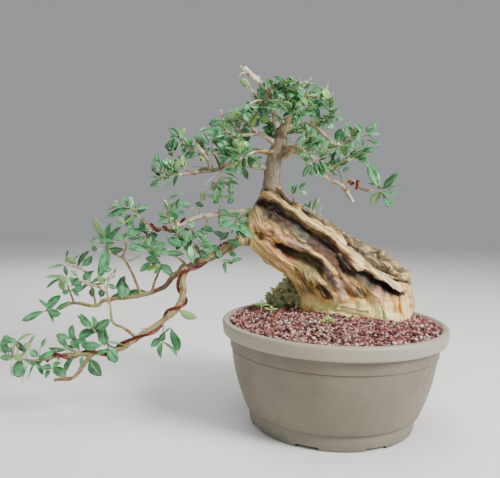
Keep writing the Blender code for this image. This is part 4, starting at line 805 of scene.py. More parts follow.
stump = {
    "rings": 300,
    "sides": 300,
    "squareness": 2.6,
    "fade": 14.0,
    "grip": 0.09,
    "backRidges": 2.4 * mm,
    "roughness": 2.0 * mm,
    "barkGrain": 55.0,
    "furrow": 1.6 * mm,
    "flake": 3.6 * mm,
    "split": 1.6 * mm,
    # stations: upper edge, lower edge, half thickness in mm
    "stations": [
        ((265, 187, 25), (249, 214, 25), 15), ((276, 187, 25), (243, 226, 25), 21),
        ((286, 193, 26), (248, 243, 27), 24), ((298, 203, 26), (257, 253, 29), 26),
        ((310, 213, 26), (267, 262, 31), 28), ((324, 220, 26), (278, 269, 34), 30),
        ((342, 231, 26), (287, 274, 38), 33), ((357, 240, 26), (294, 282, 44), 36),
        ((371, 248, 26), (298, 290, 52), 39), ((385, 256, 26), (300, 297, 60), 42),
        ((397, 266, 25), (301, 304, 68), 44), ((408, 276, 24), (301, 311, 72), 46),
        ((412, 291, 22), (302, 320, 74), 46), ((412, 306, 22), (303, 330, 74), 45),
        ((410, 322, 22), (306, 342, 74), 42),
    ],
    # carving: route, half width in readings, rise in mm; the first rows are the solid's own
    "carving": [
        ([(264, 185), (284, 197), (298, 207), (309, 215), (331, 230), (358, 256), (379, 271), (395, 281),
          (411, 287)], 3, -3.5),
        ([(268, 193), (284, 203), (300, 213), (322, 230), (345, 251), (372, 272), (400, 290)], 2.6, 2.5),
        ([(259, 202), (270, 204), (284, 214), (302, 225), (312, 238), (326, 243), (345, 259)], 6, -9),
        ([(366, 275), (383, 287), (398, 297)], 5, -7),
        ([(266, 216), (275, 219)], 6, -6),
        ([(250, 224), (260, 226), (271, 230), (284, 239), (302, 247), (312, 252), (323, 259), (333, 273),
          (340, 288), (343, 298)], 3.1, 6.8),
        ([(278, 245), (295, 256), (312, 263), (322, 272)], 5, -8),
        ([(252, 242), (274, 254), (298, 267), (309, 280)], 4.5, 3.5),
        ([(261, 236), (261, 238)], 4.5, -6),
        ([(317, 280), (326, 290), (335, 299)], 7, 5.5),
        ([(322, 287), (330, 295)], 3.6, -8),
        ([(350, 276), (362, 292), (370, 304)], 4, -3.4),
        ([(362, 280), (380, 300), (388, 318)], 4, 3),
        ([(392, 292), (398, 306), (402, 318)], 4, -4),
        ([(266, 187), (280, 196), (292, 204), (312, 216), (332, 230), (345, 241), (360, 256)], 1.2, -2.2),
        ([(360, 256), (377, 270), (397, 281), (411, 284)], 1.3, -2.4),
        ([(262, 196), (276, 203), (290, 211)], 0.9, -1.2),
        ([(266, 192), (282, 201), (298, 212), (318, 226)], 0.8, -0.9),
        ([(258, 203), (266, 207), (272, 214), (268, 219)], 1.4, -2),
        ([(262, 206), (274, 208), (285, 214), (296, 222)], 1.2, 1.4),
        ([(303, 232), (314, 238), (330, 246), (342, 258)], 1.6, 2),
        ([(314, 246), (326, 252), (336, 262)], 1.8, -2.4),
        ([(336, 262), (346, 276), (356, 288)], 2, -3),
        ([(345, 262), (360, 276), (376, 288), (392, 296)], 1.5, -2),
        ([(350, 258), (366, 272), (384, 284), (400, 290)], 1.4, 1.6),
        ([(252, 231), (262, 232), (270, 236)], 1.2, -1.2),
        ([(281, 235), (290, 243), (302, 249)], 1.3, -2.4),
        ([(300, 249), (312, 256), (322, 266), (330, 280)], 1.4, -2.2),
        ([(257, 240), (270, 250), (284, 259), (296, 268)], 0.9, -1),
        ([(262, 250), (276, 258), (290, 266), (298, 276), (303, 290)], 1, 1.2),
        ([(296, 270), (303, 281), (305, 292)], 1.2, -2),
        ([(305, 284), (309, 292), (310, 300)], 1.6, -1.6),
        ([(340, 288), (350, 296), (364, 300)], 1.8, -2.2),
        ([(352, 283), (360, 292), (364, 302), (358, 306)], 1.4, 1.8),
        ([(378, 298), (382, 308), (383, 319)], 1.2, -1.4),
        ([(394, 288), (400, 300), (404, 314)], 1.2, 1.4),
        ([(399, 286), (405, 298), (408, 312)], 1, -1.4),
        ([(262, 203), (284, 216), (302, 228), (318, 242), (332, 251), (338, 262), (346, 274), (366, 282),
          (388, 290)], 3.6, -6),
        ([(279, 246), (296, 256), (312, 262), (324, 272)], 3.2, -5),
        ([(362, 276), (380, 287), (398, 294)], 2.8, -5),
        ([(264, 204), (270, 203), (275, 206), (275, 210), (268, 211)], 1.2, -2.4),
        ([(318, 302), (330, 310), (345, 314), (362, 318)], 1.6, -1.6),
        ([(340, 304), (352, 308), (368, 311)], 1.6, 1.3),
    ],
    "calmFrom": 292,  # the reading below which the foot grows smooth, over the band
    "calmBand": 12.0,
    "footPaintedLight": (0.4, 0.15, 0.0),  # painted light: how much brighter the smooth foot is painted, by red, green and blue
    "baseTone": tone(228, 177, 94),
    "barkTone": tone(180, 150, 98),
    "backTone": tone(140, 116, 84),
    # strokes: route, half width in readings, tone, strength; the dark strokes along the carved hollows and
    # grooves are painted shade, and the pale strokes at the foot are pale wood with painted light
    "strokes": [
        ([(266, 190), (284, 203), (300, 213), (317, 226), (331, 233), (349, 251), (363, 265), (380, 277),
          (398, 283)], 4.6, (244, 212, 148), 0.9),
        ([(262, 196), (266, 200), (278, 204)], 5, (190, 150, 92), 0.8),
        ([(256, 208), (262, 214), (260, 220)], 5.5, (176, 160, 112), 0.9),
        ([(259, 202), (268, 207), (280, 215), (292, 225), (302, 232), (312, 240), (322, 245), (332, 252),
          (338, 262), (345, 272), (358, 278), (370, 285), (386, 291), (398, 293)], 5.2, (74, 52, 34), 1),
        ([(266, 212), (276, 219), (284, 226)], 5.5, (70, 50, 34), 0.9),
        ([(262, 202), (274, 204), (284, 211), (276, 214), (266, 208)], 1.8, (52, 36, 26), 0.9),
        ([(264, 204), (272, 209), (282, 218)], 1.4, (150, 112, 70), 0.8),
        ([(290, 218), (302, 228), (314, 238)], 1.6, (56, 38, 26), 0.85),
        ([(296, 228), (304, 236), (311, 243)], 2.2, (104, 106, 84), 0.6),
        ([(292, 233), (300, 236)], 5, (84, 86, 72), 0.7),
        ([(311, 243), (320, 250), (330, 256), (337, 265)], 4, (92, 50, 20), 0.95),
        ([(324, 238), (334, 244), (340, 253)], 2.6, (66, 36, 18), 0.85),
        ([(334, 263), (340, 273), (344, 283)], 3.2, (140, 84, 38), 0.85),
        ([(345, 262), (356, 272), (368, 281), (382, 288)], 3.4, (54, 44, 36), 0.95),
        ([(346, 268), (356, 278), (370, 288), (386, 294)], 2, (120, 96, 66), 0.7),
        ([(352, 262), (366, 273), (384, 284), (399, 289)], 1.6, (206, 180, 160), 0.7),
        ([(318, 232), (330, 241), (341, 252), (352, 266)], 1.7, (172, 116, 56), 0.8),
        ([(290, 203), (304, 213), (320, 224), (334, 236)], 1.3, (196, 140, 76), 0.7),
        ([(268, 190), (282, 199), (296, 208)], 1.2, (150, 104, 56), 0.75),
        ([(261, 188), (271, 190), (282, 195)], 1.5, (36, 26, 18), 0.95),
        ([(298, 240), (314, 248), (329, 259), (338, 271), (345, 284)], 1.3, (50, 36, 28), 0.9),
        ([(288, 249), (302, 254), (314, 262), (324, 271), (331, 281), (336, 291)], 1.3, (58, 42, 32), 0.9),
        ([(270, 200), (282, 207), (296, 217), (312, 229), (326, 240), (340, 252)], 1.1, (60, 42, 28), 0.8),
        ([(352, 268), (366, 280), (382, 290), (396, 295), (404, 293)], 2.2, (58, 44, 34), 0.9),
        ([(254, 233), (264, 233), (273, 238), (281, 246)], 1.3, (96, 68, 50), 0.8),
        ([(318, 281), (316, 287), (322, 294), (330, 300)], 1.4, (60, 46, 34), 0.9),
        ([(300, 266), (304, 274), (308, 282)], 1.2, (92, 64, 44), 0.8),
        ([(352, 292), (360, 290), (364, 296), (359, 302)], 1.3, (66, 58, 44), 0.85),
        ([(340, 296), (352, 300), (368, 303)], 1.2, (150, 112, 70), 0.7),
        ([(390, 296), (394, 306), (396, 316)], 1.3, (150, 108, 72), 0.7),
        ([(409, 296), (411, 306), (412, 318)], 2, (104, 78, 54), 0.8),
        ([(336, 242), (348, 254), (362, 268), (378, 280)], 1.2, (176, 128, 72), 0.7),
        ([(276, 230), (284, 236), (294, 241)], 3.2, (146, 92, 70), 0.7),
        ([(246, 223), (258, 226), (275, 231), (283, 237)], 3.6, (186, 142, 98), 0.85),
        ([(290, 243), (302, 248), (312, 255), (322, 263), (329, 272), (336, 281), (341, 289),
          (344, 299)], 2.9, (160, 132, 118), 1),
        ([(326, 268), (333, 277), (339, 287)], 1.7, (158, 152, 168), 0.8),
        ([(279, 246), (287, 251), (296, 253), (305, 257), (312, 262), (322, 268)], 3.8, (54, 36, 26), 1),
        ([(283, 252), (290, 259), (297, 261)], 3.4, (150, 78, 44), 0.85),
        ([(270, 244), (276, 250)], 4, (176, 120, 84), 0.7),
        ([(302, 262), (309, 268), (317, 275)], 7.5, (172, 154, 92), 1),
        ([(309, 285), (312, 295)], 5.5, (146, 132, 78), 0.9),
        ([(251, 242), (262, 252), (277, 262), (291, 270), (300, 282),
          (302, 293)], 3.6, (226, 192, 122), 0.85),
        ([(257, 244), (270, 254), (284, 262)], 1.6, (150, 110, 72), 0.7),
        ([(296, 268), (302, 276), (306, 284)], 1.8, (128, 86, 58), 0.8),
        ([(261, 236), (261, 238)], 3.4, (92, 74, 48), 0.85),
        ([(319, 279), (328, 286), (337, 297)], 4, (214, 176, 122), 0.9),
        ([(321, 286), (326, 292), (331, 297)], 3.2, (88, 66, 46), 0.9),
        ([(344, 284), (352, 290), (360, 300), (366, 304)], 5, (140, 108, 72), 0.85),
        ([(356, 290), (362, 298), (358, 303)], 2.4, (86, 78, 58), 0.8),
        ([(308, 302), (322, 308), (340, 314), (362, 318), (386, 320), (406, 320)], 7.5, (255, 230, 160), 1),
        ([(330, 303), (348, 307), (366, 309)], 4.5, (250, 222, 156), 0.9),
        ([(372, 300), (378, 310), (386, 316)], 5.5, (255, 224, 164), 0.9),
        ([(378, 294), (384, 302)], 4, (206, 160, 128), 0.8),
        ([(401, 292), (406, 302), (408, 312)], 4.5, (255, 216, 162), 0.9),
        ([(384, 291), (396, 294), (404, 292)], 2.4, (70, 50, 36), 0.9),
        ([(372, 326), (386, 327), (404, 327)], 3, (70, 66, 44), 0.7),
        ([(306, 306), (318, 314), (330, 318)], 1.6, (150, 120, 72), 0.5),
        ([(360, 301), (370, 307), (382, 314)], 4.4, (255, 226, 150), 0.85),
        ([(312, 303), (330, 309), (350, 313)], 3, (255, 232, 160), 0.9),
        ([(388, 304), (392, 312), (396, 318)], 3, (255, 222, 156), 0.8),
    ],
    # barkLines: route over the bark strip, half width in readings, rise in mm, tone, strength; the dark tones
    # on the sunken lines are painted shade in the grooves, and the pale tones on the raised lines are pale
    # plates with painted light
    "barkLines": [
        ([(304, 210), (312, 215), (322, 220), (334, 228), (342, 233), (349, 242), (357, 249), (365, 257),
          (374, 266), (387, 274), (399, 281), (410, 283)], 1.6, -3.9, (30, 24, 18), 0.95),
        ([(344, 235), (354, 239), (362, 245), (372, 251), (379, 256), (385, 262), (390, 266), (398, 271),
          (403, 275)], 1.5, -3.9, (34, 28, 20), 0.95),
        ([(349, 245), (362, 254), (374, 262), (384, 270), (397, 277)], 1.4, -2.7, (44, 36, 26), 0.85),
        ([(314, 213), (326, 220), (336, 227)], 1.2, -2.1, (40, 32, 24), 0.8),
        ([(260, 189.5), (270, 190), (277, 192), (284, 196)], 1.8, -2.2, (26, 20, 14), 0.95),
        ([(376, 257), (382, 260)], 2.2, -3, (30, 24, 18), 0.95),
        ([(368, 250), (371, 256)], 1.1, -2.1, (36, 28, 20), 0.85),
        ([(391, 268), (389, 274)], 1.1, -2.1, (36, 28, 20), 0.85),
        ([(400, 273), (402, 279)], 1.1, -2.1, (36, 28, 20), 0.85),
        ([(381, 270), (388, 274), (395, 278)], 1.7, 1.6, (240, 220, 156), 0.85),
        ([(391, 263), (396, 267)], 1.8, 2.6, (236, 214, 150), 0.85),
        ([(403, 273), (409, 277)], 1.9, 2.4, (236, 214, 156), 0.85),
        ([(344, 231), (353, 236)], 1.5, 1.8, (226, 204, 160), 0.85),
        ([(365, 246), (374, 249), (381, 252)], 1.7, 2.8, (206, 176, 120), 0.85),
        ([(352, 247), (362, 256), (372, 263)], 1.3, 1.4, (164, 160, 140), 0.85),
        ([(358, 242), (361, 243)], 2.5, -3.9, (70, 56, 40), 0.8),
        ([(386, 258), (388, 260)], 2.5, -5.1, (60, 48, 34), 0.8),
        ([(400, 269), (401, 271)], 2.2, -4.8, (60, 48, 34), 0.8),
        ([(286, 194), (298, 203), (306, 210)], 1.5, -2.1, (52, 40, 28), 0.75),
        ([(318, 216), (321, 219)], 2, -2.4, (66, 52, 38), 0.7),
    ],
    # jags: bumps and notches of the upper outline: reading, half width in readings, rise in mm
    "jags": [
        ((304, 208.5), 2.4, -1.6), ((324, 219.5), 2.4, 1.8), ((353, 238), 2.4, 2.8),
        ((361, 242.5), 2.2, -2.6), ((368, 246.5), 2.0, 1.8), ((379, 252.5), 3.2, 4.0),
        ((386.5, 257.5), 2.4, -4.0), ((393, 262.5), 2.6, 3.8), ((399, 268), 2.2, -3.6),
        ((405, 273), 2.6, 3.4),
    ],
    "crack": [(264, 186), (282, 197), (292, 204), (312, 216), (332, 230), (344, 240), (359, 255),
              (377, 270), (397, 281), (411, 284)],
}


def easeRow(table, share):
    reach = min(max(share, 0.0), 1.0) * (len(table) - 1)
    index = min(int(reach), len(table) - 2)
    t = reach - index
    here, there = table[index], table[index + 1]
    before = table[max(index - 1, 0)]
    after = table[min(index + 2, len(table) - 1)]
    return [0.5 * (2 * h + (n - b) * t + (2 * b - 5 * h + 4 * n - a) * t * t
                   + (3 * h - b - 3 * n + a) * t ** 3)
            for b, h, n, a in zip(before, here, there, after)]


def strokeGap(across, down, route):  # how far each reading is from a drawn route
    gap = np.full(across.shape, 1e9)
    for (x1, y1), (x2, y2) in zip(route, route[1:]):
        dx, dy = x2 - x1, y2 - y1
        t = np.clip(((across - x1) * dx + (down - y1) * dy) / (dx * dx + dy * dy), 0.0, 1.0)
        gap = np.minimum(gap, np.hypot(across - x1 - dx * t, down - y1 - dy * t))
    return gap


def sideOfCrack(across, down):  # above 0 where a reading lies on the bark's side of the long crack
    route = stump["crack"]
    lines = np.interp(across, [x for x, _ in route], [y for _, y in route])
    return lines - down


def stumpRings():  # middle, reach, thickness direction and half thickness of every ring
    upper = [tuple(seen(station[0])) for station in stump["stations"]]
    lower = [tuple(seen(station[1])) for station in stump["stations"]]
    half = [(station[2] * mm,) for station in stump["stations"]]
    rings = []
    for index in range(stump["rings"]):
        share = index / (stump["rings"] - 1)
        top, bottom = Vector(easeRow(upper, share)), Vector(easeRow(lower, share))
        spans = []
        for at in (min(share + stump["grip"], 1.0), max(share - stump["grip"], 0.0)):
            spans.append(Vector(easeRow(upper, at)) + Vector(easeRow(lower, at)))
        thick = ((top - bottom) / 2).cross(spans[0] - spans[1]).normalized()
        if thick.y > 0:
            thick.negate()
        rings.append(((top + bottom) / 2, (top - bottom) / 2, thick, easeRow(half, share)[0]))
    return rings


def barkPlates(flow):  # how high each place stands on its plate of bark, and its painted shade: lighter on raised plates, darker on low ones and towards the gaps
    heights, shades = [], []
    for across, round, along in flow:
        gaps, cells = noise.voronoi(Vector((across * 170, round * 170, along * 34)))
        edge = min(1.0, (gaps[1] - gaps[0]) * 3.0)
        own = noise.noise(cells[0] * 2.7)
        chunk = noise.noise(Vector((across * 46, round * 46, along * 44)))
        chunk = math.copysign(abs(chunk) ** 0.6, chunk)
        heights.append(edge ** 0.5 + 0.9 * own + 1.3 * chunk)
        shades.append(0.42 + 0.5 * edge + 0.6 * own + 0.45 * chunk)
    return np.array(heights), np.array(shades)


def wobble(point):  # how far a reading strays, so that no stroke has an even edge
    return noise.noise_vector(point * 85) * 1.5 + noise.noise_vector(point * 240) * 0.7


def grainNoise(flow, across, along):
    return np.array([noise.noise(Vector((x * across, y * across, z * along))) for x, y, z in flow])


def shapeStump(work):
    layers = layersOf(work)
    layers["calm"] = work.verts.layers.float.new("calm")
    rings = stumpRings()
    verts = list(work.verts)
    shares = np.array([vert.co.z + 0.5 for vert in verts])
    turns = np.array([math.atan2(vert.co.y, vert.co.x) for vert in verts])
    picks = [rings[round(share * (stump["rings"] - 1))] for share in shares]
    middle = np.array([ring[0] for ring in picks])
    reach = np.array([ring[1] for ring in picks])
    thick = np.array([ring[2] for ring in picks])
    half = np.array([ring[3] for ring in picks])
    power = 2.0 / stump["squareness"]
    along = np.copysign(np.abs(np.cos(turns)) ** power, np.cos(turns))
    out = np.copysign(np.abs(np.sin(turns)) ** power, np.sin(turns))
    place = middle + reach * along[:, None] + thick * (half * out)[:, None]
    readings = np.array([inPicture(Vector(point)) for point in place])
    push = np.array([wobble(Vector(point)) for point in place])
    across, down = readings[:, 0] + push[:, 0] * 1.2, readings[:, 1] + push[:, 2] * 1.2
    fade = np.clip(np.minimum(shares, 1.0 - shares) * stump["fade"], 0.0, 1.0)
    front = np.clip(out * 1.3, 0.0, 1.0)
    rise = np.zeros(len(verts))
    for route, width, height in stump["carving"]:
        gap = strokeGap(across, down, route) / width
        rise += height * mm * np.exp(-gap * gap)
    bark = np.clip(sideOfCrack(across, down) / 1.5 + 0.3, 0.0, 1.0)
    bark = np.where(out > 0, bark, 1.0)
    ridge = np.sin(7.0 * turns + 5.0 * shares) + 0.6 * np.sin(12.0 * turns - 7.0 * shares)
    # the carved rise on the front, kept to paint shade into the hollows
    shadeRise = np.where(out > 0, rise * front, 0.0)
    rise = np.where(out > 0, rise * front, stump["backRidges"] * ridge * np.abs(out))
    place += thick * (rise * fade)[:, None]
    away = place - middle
    away /= np.linalg.norm(away, axis=1)[:, None]
    rough = np.array([noise.noise(Vector(point) * stump["barkGrain"]) for point in place])
    flow = np.stack([np.cos(turns) * 0.046, np.sin(turns) * 0.046, shares * 0.2], axis=1)
    drift = np.array([noise.noise_vector(Vector(point) * 42) for point in place]) * 0.004
    flow = flow + drift
    furrow = grainNoise(flow, 260, 40)
    fibre = grainNoise(flow, 620, 90)
    plate, shade = barkPlates(flow)
    detail = rough * stump["roughness"] + (furrow + fibre * 0.5) * stump["furrow"] * (1 - bark * 0.5)
    detail += (plate - 0.9) * stump["flake"] * bark
    splits = np.clip(1.0 - np.abs(furrow) / 0.075, 0.0, 1.0) * np.clip(rough * 4 + 0.6, 0.0, 1.0) * (1 - bark)
    lines = np.zeros(len(verts))
    for route, width, height, _, _ in stump["barkLines"]:
        gap = strokeGap(across, down, route) / width
        lines += height * mm * np.exp(-gap * gap) * np.clip(out * 4 + 1.0, 0.0, 1.0)
    for (x, y), width, height in stump["jags"]:
        gap = np.hypot(readings[:, 0] - x, readings[:, 1] - y) / width
        lines += height * mm * np.exp(-gap * gap) * np.clip(out * 4 + 1.5, 0.0, 1.0)
    place += away * ((detail - splits * stump["split"] + lines) * fade)[:, None]
    calm = np.clip((down - stump["calmFrom"]) / stump["calmBand"], 0.0, 0.9) * np.clip(out * 4, 0, 1)
    paint = paintStump(across, down, out, bark, (furrow + fibre * 0.6) * (1 - calm * 0.8), shade, shadeRise)
    # painted shade in the splits carved into the wood
    paint *= (1 - 0.62 * splits * (1 - calm * 0.6))[:, None]
    # painted light: the smooth foot painted brighter than its pale wood
    paint = np.minimum(paint * (1 + np.outer(calm, stump["footPaintedLight"])), 0.95)
    for vert, point, colour, grain, isBark, still in zip(verts, place, paint, flow, bark, calm):
        vert.co = point
        vert[layers["paint"]] = (*colour, 1.0)
        vert[layers["grainPlace"]] = grain
        vert[layers["rough"]] = isBark
        vert[layers["calm"]] = still


def overlaid(paint, colour, share):
    return paint * (1 - share[:, None]) + np.array(colour) * share[:, None]


def paintStump(across, down, out, bark, furrow, shade, shadeRise):
    paint = np.tile(np.array(stump["baseTone"]), (len(across), 1))
    # the strokes lay the wood's tones, with painted shade in the hollows and painted light on the foot
    for route, width, colour, strength in stump["strokes"]:
        gap = strokeGap(across, down, route) / width
        paint = overlaid(paint, tone(*colour), np.exp(-gap ** 4) * strength)
    # the furrows that sink the surface also darken the paint: grain tone with painted shade in the furrows
    paint = paint * np.clip(1.0 + 0.75 * furrow, 0.4, 1.6)[:, None]
    # painted shade, darker where the carving sinks into hollows, and painted light up to a fifth brighter
    # where it rises
    paint = paint * np.clip(1.0 + shadeRise / (18 * mm), 0.4, 1.2)[:, None]
    # the back's tone also carries painted shade in the furrows
    backTone = np.array(stump["backTone"]) * (0.75 + 0.5 * np.clip(furrow + 0.5, 0, 1))[:, None]
    # the bark's tone scaled by the plates' painted shade
    barkShade = np.clip(1.2 * np.clip(shade, 0.0, 2.0) ** 2.7, 0.05, 1.7)
    paint = overlaid(paint, np.array(stump["barkTone"]) * barkShade[:, None], bark)
    front = np.clip(out * 4 + 1.0, 0.0, 1.0)
    # painted shade in the bark's grooves and painted light on its raised plates
    for route, width, _, colour, strength in stump["barkLines"]:
        gap = strokeGap(across, down, route) / width
        paint = overlaid(paint, tone(*colour), np.exp(-gap ** 4) * strength * front)
    return np.clip(overlaid(paint, backTone, np.clip(-out * 3.0, 0.0, 1.0) * 0.6), 0.004, 0.95)


def buildStump():
    work = bmesh.new()
    bmesh.ops.create_cone(work, cap_ends=True, segments=stump["sides"], radius1=1.0, radius2=1.0, depth=1.0)
    posts = [edge for edge in work.edges if abs(edge.verts[0].co.z - edge.verts[1].co.z) > 0.5]
    bmesh.ops.subdivide_edges(work, edges=posts, cuts=stump["rings"] - 2, use_grid_fill=True)
    shapeStump(work)
    bmesh.ops.recalc_face_normals(work, faces=work.faces)
    finishPiece(work, "carvedStump", ["stump"], ["trunk"])


# Wood and leaf readings

# Stems: name, readings (across, down, depth in mm), thickness in mm
stemRows = [
    ("live_stem", [(271, 195, 27), (271.5, 184, 26), (274, 160, 25), (280, 144, 25), (281, 131, 25)],
      (24, 21.5, 18.5, 18, 11)),
    ("stem_front_top", [(281, 138, 25), (287, 124, 22), (290, 112, 18), (292, 100, 14)], (7.5, 4)),
    ("stem_back_top", [(282, 134, 26), (294, 112, 32), (304, 99, 38), (316, 97, 42)], (7, 3.4)),
    ("apex", [(281, 138, 26), (275, 117, 30), (270, 102, 30), (266, 90, 28), (244, 68, 26)],
      (8, 7, 7.4, 9, 6.4)),
    ("apex_tip_a", [(246, 71, 26), (242, 68, 26), (240, 65, 27)], (3.2, 1.6)),
    ("apex_tip_b", [(246, 72, 26), (241, 74, 25), (239, 77, 25)], (2.8, 1.4)),
    ("apex_stub", [(263, 87, 28), (260, 81, 28), (259, 75, 27)], (3, 2.2)),
    ("left_low", [(273, 168, 25), (251, 166, 18), (231, 164, 10), (214, 170, 6), (198, 172, 2),
      (184, 174, -1)], (8, 6, 5.4, 4.6, 4, 3.4)),
    ("left_low_stub", [(211, 169, 6), (208, 160, 4), (194, 141, 2)], (5, 4.2)),
    ("left_twist", [(214, 170, 6), (203, 168, 9), (195, 174, 6), (189, 172, 2)], (3, 2.4)),
    ("left_mid", [(276, 144, 24), (263, 135, 18), (258, 134, 14), (246, 135, 10), (236, 136, 6)], (6, 3.2)),
    ("left_mid_stub", [(237, 136, 7), (227, 127, 8), (223, 120, 9), (221, 110, 10)], (2.8, 2.4)),
    ("left_mid_peg", [(257, 133, 14), (249, 124, 13), (238, 116, 12)], (4.2, 3.8)),
    ("left_back", [(276, 156, 28), (260, 151, 46), (246, 149, 60)], (6, 4.4)),
    ("back", [(280, 150, 30), (283, 142, 50)], (6, 4.4)),
    ("right_low", [(277, 160, 27), (287, 157, 24), (298, 152, 20), (316, 172, 22), (339, 184, 24),
      (345, 189, 22), (353, 202, 20)], (8, 7, 6, 5.6, 5.2, 4.6, 4.2)),
    ("right_mid", [(284, 130, 24), (300, 124, 20), (314, 126, 22), (333, 144, 24)], (6, 4)),
    ("right_fork", [(322, 176, 22), (333, 167, 18), (345, 160, 15)], (3.6, 2.6)),
    ("right_end", [(340, 184, 24), (353, 181, 24), (360, 188, 22), (368, 191, 20)], (4, 3)),
    ("right_back", [(283, 152, 30), (294, 149, 43), (304, 147, 54)], (6, 4.4)),
    ("right_front", [(284, 148, 20), (296, 147, -8), (304, 151, -26)], (4.6, 3)),
    ("left_front", [(274, 152, 20), (263, 151, -4), (255, 152, -16)], (4.4, 3)),
    ("dry_shoot_a", [(314, 216, 20), (315, 208, 18), (319, 199, 17)], (2.2, 1.4)),
    ("dry_shoot_b", [(314, 217, 20), (320, 211, 17), (323, 206, 16)], (2.0, 1.4)),
    ("upper_branch", [(254, 212, 24), (236, 212, 20), (215, 215, 15), (200, 217, 11), (191, 220, 8),
      (179, 226, 4), (167, 230, 0), (159, 228, -2), (150, 226, -4), (143, 221, -6)],
      (8, 6, 5.4, 5, 4.6, 4.2, 3.8, 3.4, 3, 2.8)),
    ("upper_stub", [(178, 226, 4), (173, 216, 3), (164, 200, 2)], (4.4, 3.6)),
    ("upper_dry_a", [(219, 214, 16), (220, 206, 14), (219, 199, 12)], (2.6, 2)),
    ("upper_dry_b", [(220, 202, 13), (223, 192, 16), (228, 184, 18)], (1.8, 1.4)),
    ("upper_dry_c", [(201, 217, 11), (200, 205, 10), (202, 196, 9), (207, 190, 8)], (2.2, 1.6)),
    ("upper_peg_a", [(208, 216, 13), (207, 222, 12), (205, 228, 11)], (2.2, 1.6)),
    ("upper_peg_b", [(219, 215, 16), (220, 226, 15), (228, 223, 14)], (2.2, 1.6)),
    ("cascade", [(258, 232, 24), (243, 238, 16), (228, 248, 10), (213, 256, 5), (199, 261, 1),
      (190, 267, -1), (183, 270, -2)], (12, 10.5, 9.6, 9, 8.6, 8.8, 9.5)),
    ("branch_down", [(184, 268, -2), (182, 277, -4), (183, 290, -8), (182, 300, -11), (174, 311, -15),
      (160, 323, -20), (143, 334, -25), (123, 347, -30), (111, 350, -33), (89, 354, -37), (64, 355, -40),
      (42, 360, -41)], (8.6, 7.6, 7.2, 7, 6.8, 6.4, 6, 5.6, 5.2, 4.6, 3.8, 3)),
    ("branch_left", [(184, 270, -2), (174, 276, 3), (166, 285, 7), (153, 292, 11), (131, 297, 15),
      (105, 300, 18), (96, 306, 18), (73, 303, 16), (60, 309, 14)], (6, 5.6, 5, 4.6, 4.2, 3.8, 3.6, 3, 2.6)),
    ("hook", [(92, 354, -37), (82, 367, -38), (78, 373, -38), (72, 378, -38), (64, 379, -38),
      (54, 380, -38)], (4.4, 3.8)),
    ("left_peg", [(141, 295, 14), (132, 273, 10), (122, 255, 6)], (3.6, 3)),
    ("left_peg_tip", [(123, 256, 6), (126, 247, 5), (125, 241, 4)], (2.4, 2)),
    ("left_peg_side", [(124, 262, 7), (133, 259, 10), (140, 256, 12)], (2.6, 2.2)),
    ("fork_peg_a", [(106, 291, -9), (97, 286, -9), (84, 283, -9)], (3.0, 4.2)),
    ("fork_peg_b", [(106, 290, -9), (110, 279, -8), (116, 270, -7)], (2.6, 2.6)),
    ("low_peg", [(94, 353, -36), (80, 352, -33), (67, 349, -32)], (3.0, 3.0)),
    ("left_riser", [(152, 292, 11), (155, 281, 8), (162, 265, 4)], (3.4, 2.6)),
    ("fork_stem", [(137, 338, -26), (124, 328, -22), (113, 322, -18), (110, 305, -13), (106, 290, -9)],
      (3.8, 2.6)),
    ("dead_twig", [(160, 323, -20), (150, 327, -24), (140, 328, -28)], (2.8, 2)),
    ("rise_a", [(74, 303, 16), (70, 292, 14), (67, 284, 12)], (2.6, 2)),
    ("rise_b", [(96, 305, 18), (92, 288, 22), (86, 272, 24)], (2.8, 2.6)),
    ("mid_riser", [(205, 258, 2), (199, 251, -4), (192, 245, -8)], (3, 2.2)),
    ("mid_twig", [(188, 267, -1), (180, 259, -8), (168, 252, -12), (158, 250, -14)], (3, 2)),
]

# Wires: name, readings on the branch's middle line with its thickness in mm and the turns so far
wireRows = [
    ("wire_cascade", [(234, 244, 12, 11, -0.15), (213, 256, 5, 9.4, 0.25), (199, 261, 1, 9.4, 0.5),
                      (190, 265.5, -1, 12, 0.66), (184, 270, -2, 13.4, 0.75), (182, 279, -4, 10, 0.87),
                      (183, 290, -8, 8, 1.1), (182, 300, -11, 7.6, 1.5), (174, 311, -15, 7.4, 1.9),
                      (160, 323, -20, 7, 2.35), (143, 334, -25, 6.4, 2.72), (123, 347, -30, 6, 3.02),
                      (111, 350, -33, 5.6, 3.42), (89, 354, -37, 5, 4.02), (64, 355, -40, 4.2, 4.7),
                      (45, 359.6, -41, 3.6, 5.4)]),
    ("wire_upper", [(187, 221.6, 7, 5.2, 0.0), (179, 226, 4, 4.8, 0.32), (167, 230, 0, 4.4, 0.78),
                    (159, 228, -2, 4, 1.45), (150, 226, -4, 3.8, 1.9)]),
    ("wire_right", [(349, 181.6, 24, 3.8, 0.2), (354, 182, 23.6, 3.8, 0.75), (359, 187, 22.2, 3.6, 1.5)]),
]

# Burrs: reading, radius in mm and tone
burrRows = [
    ((247, 239, 18), 8.5, "tone"),
    ((240, 241, 12), 6.5, "tone"),
    ((184, 269, -2), 6.2, "tone"),
    ((281, 132, 25), 7.0, "burrTone"),
    ((346, 190, 22), 3.4, "tone"),
]

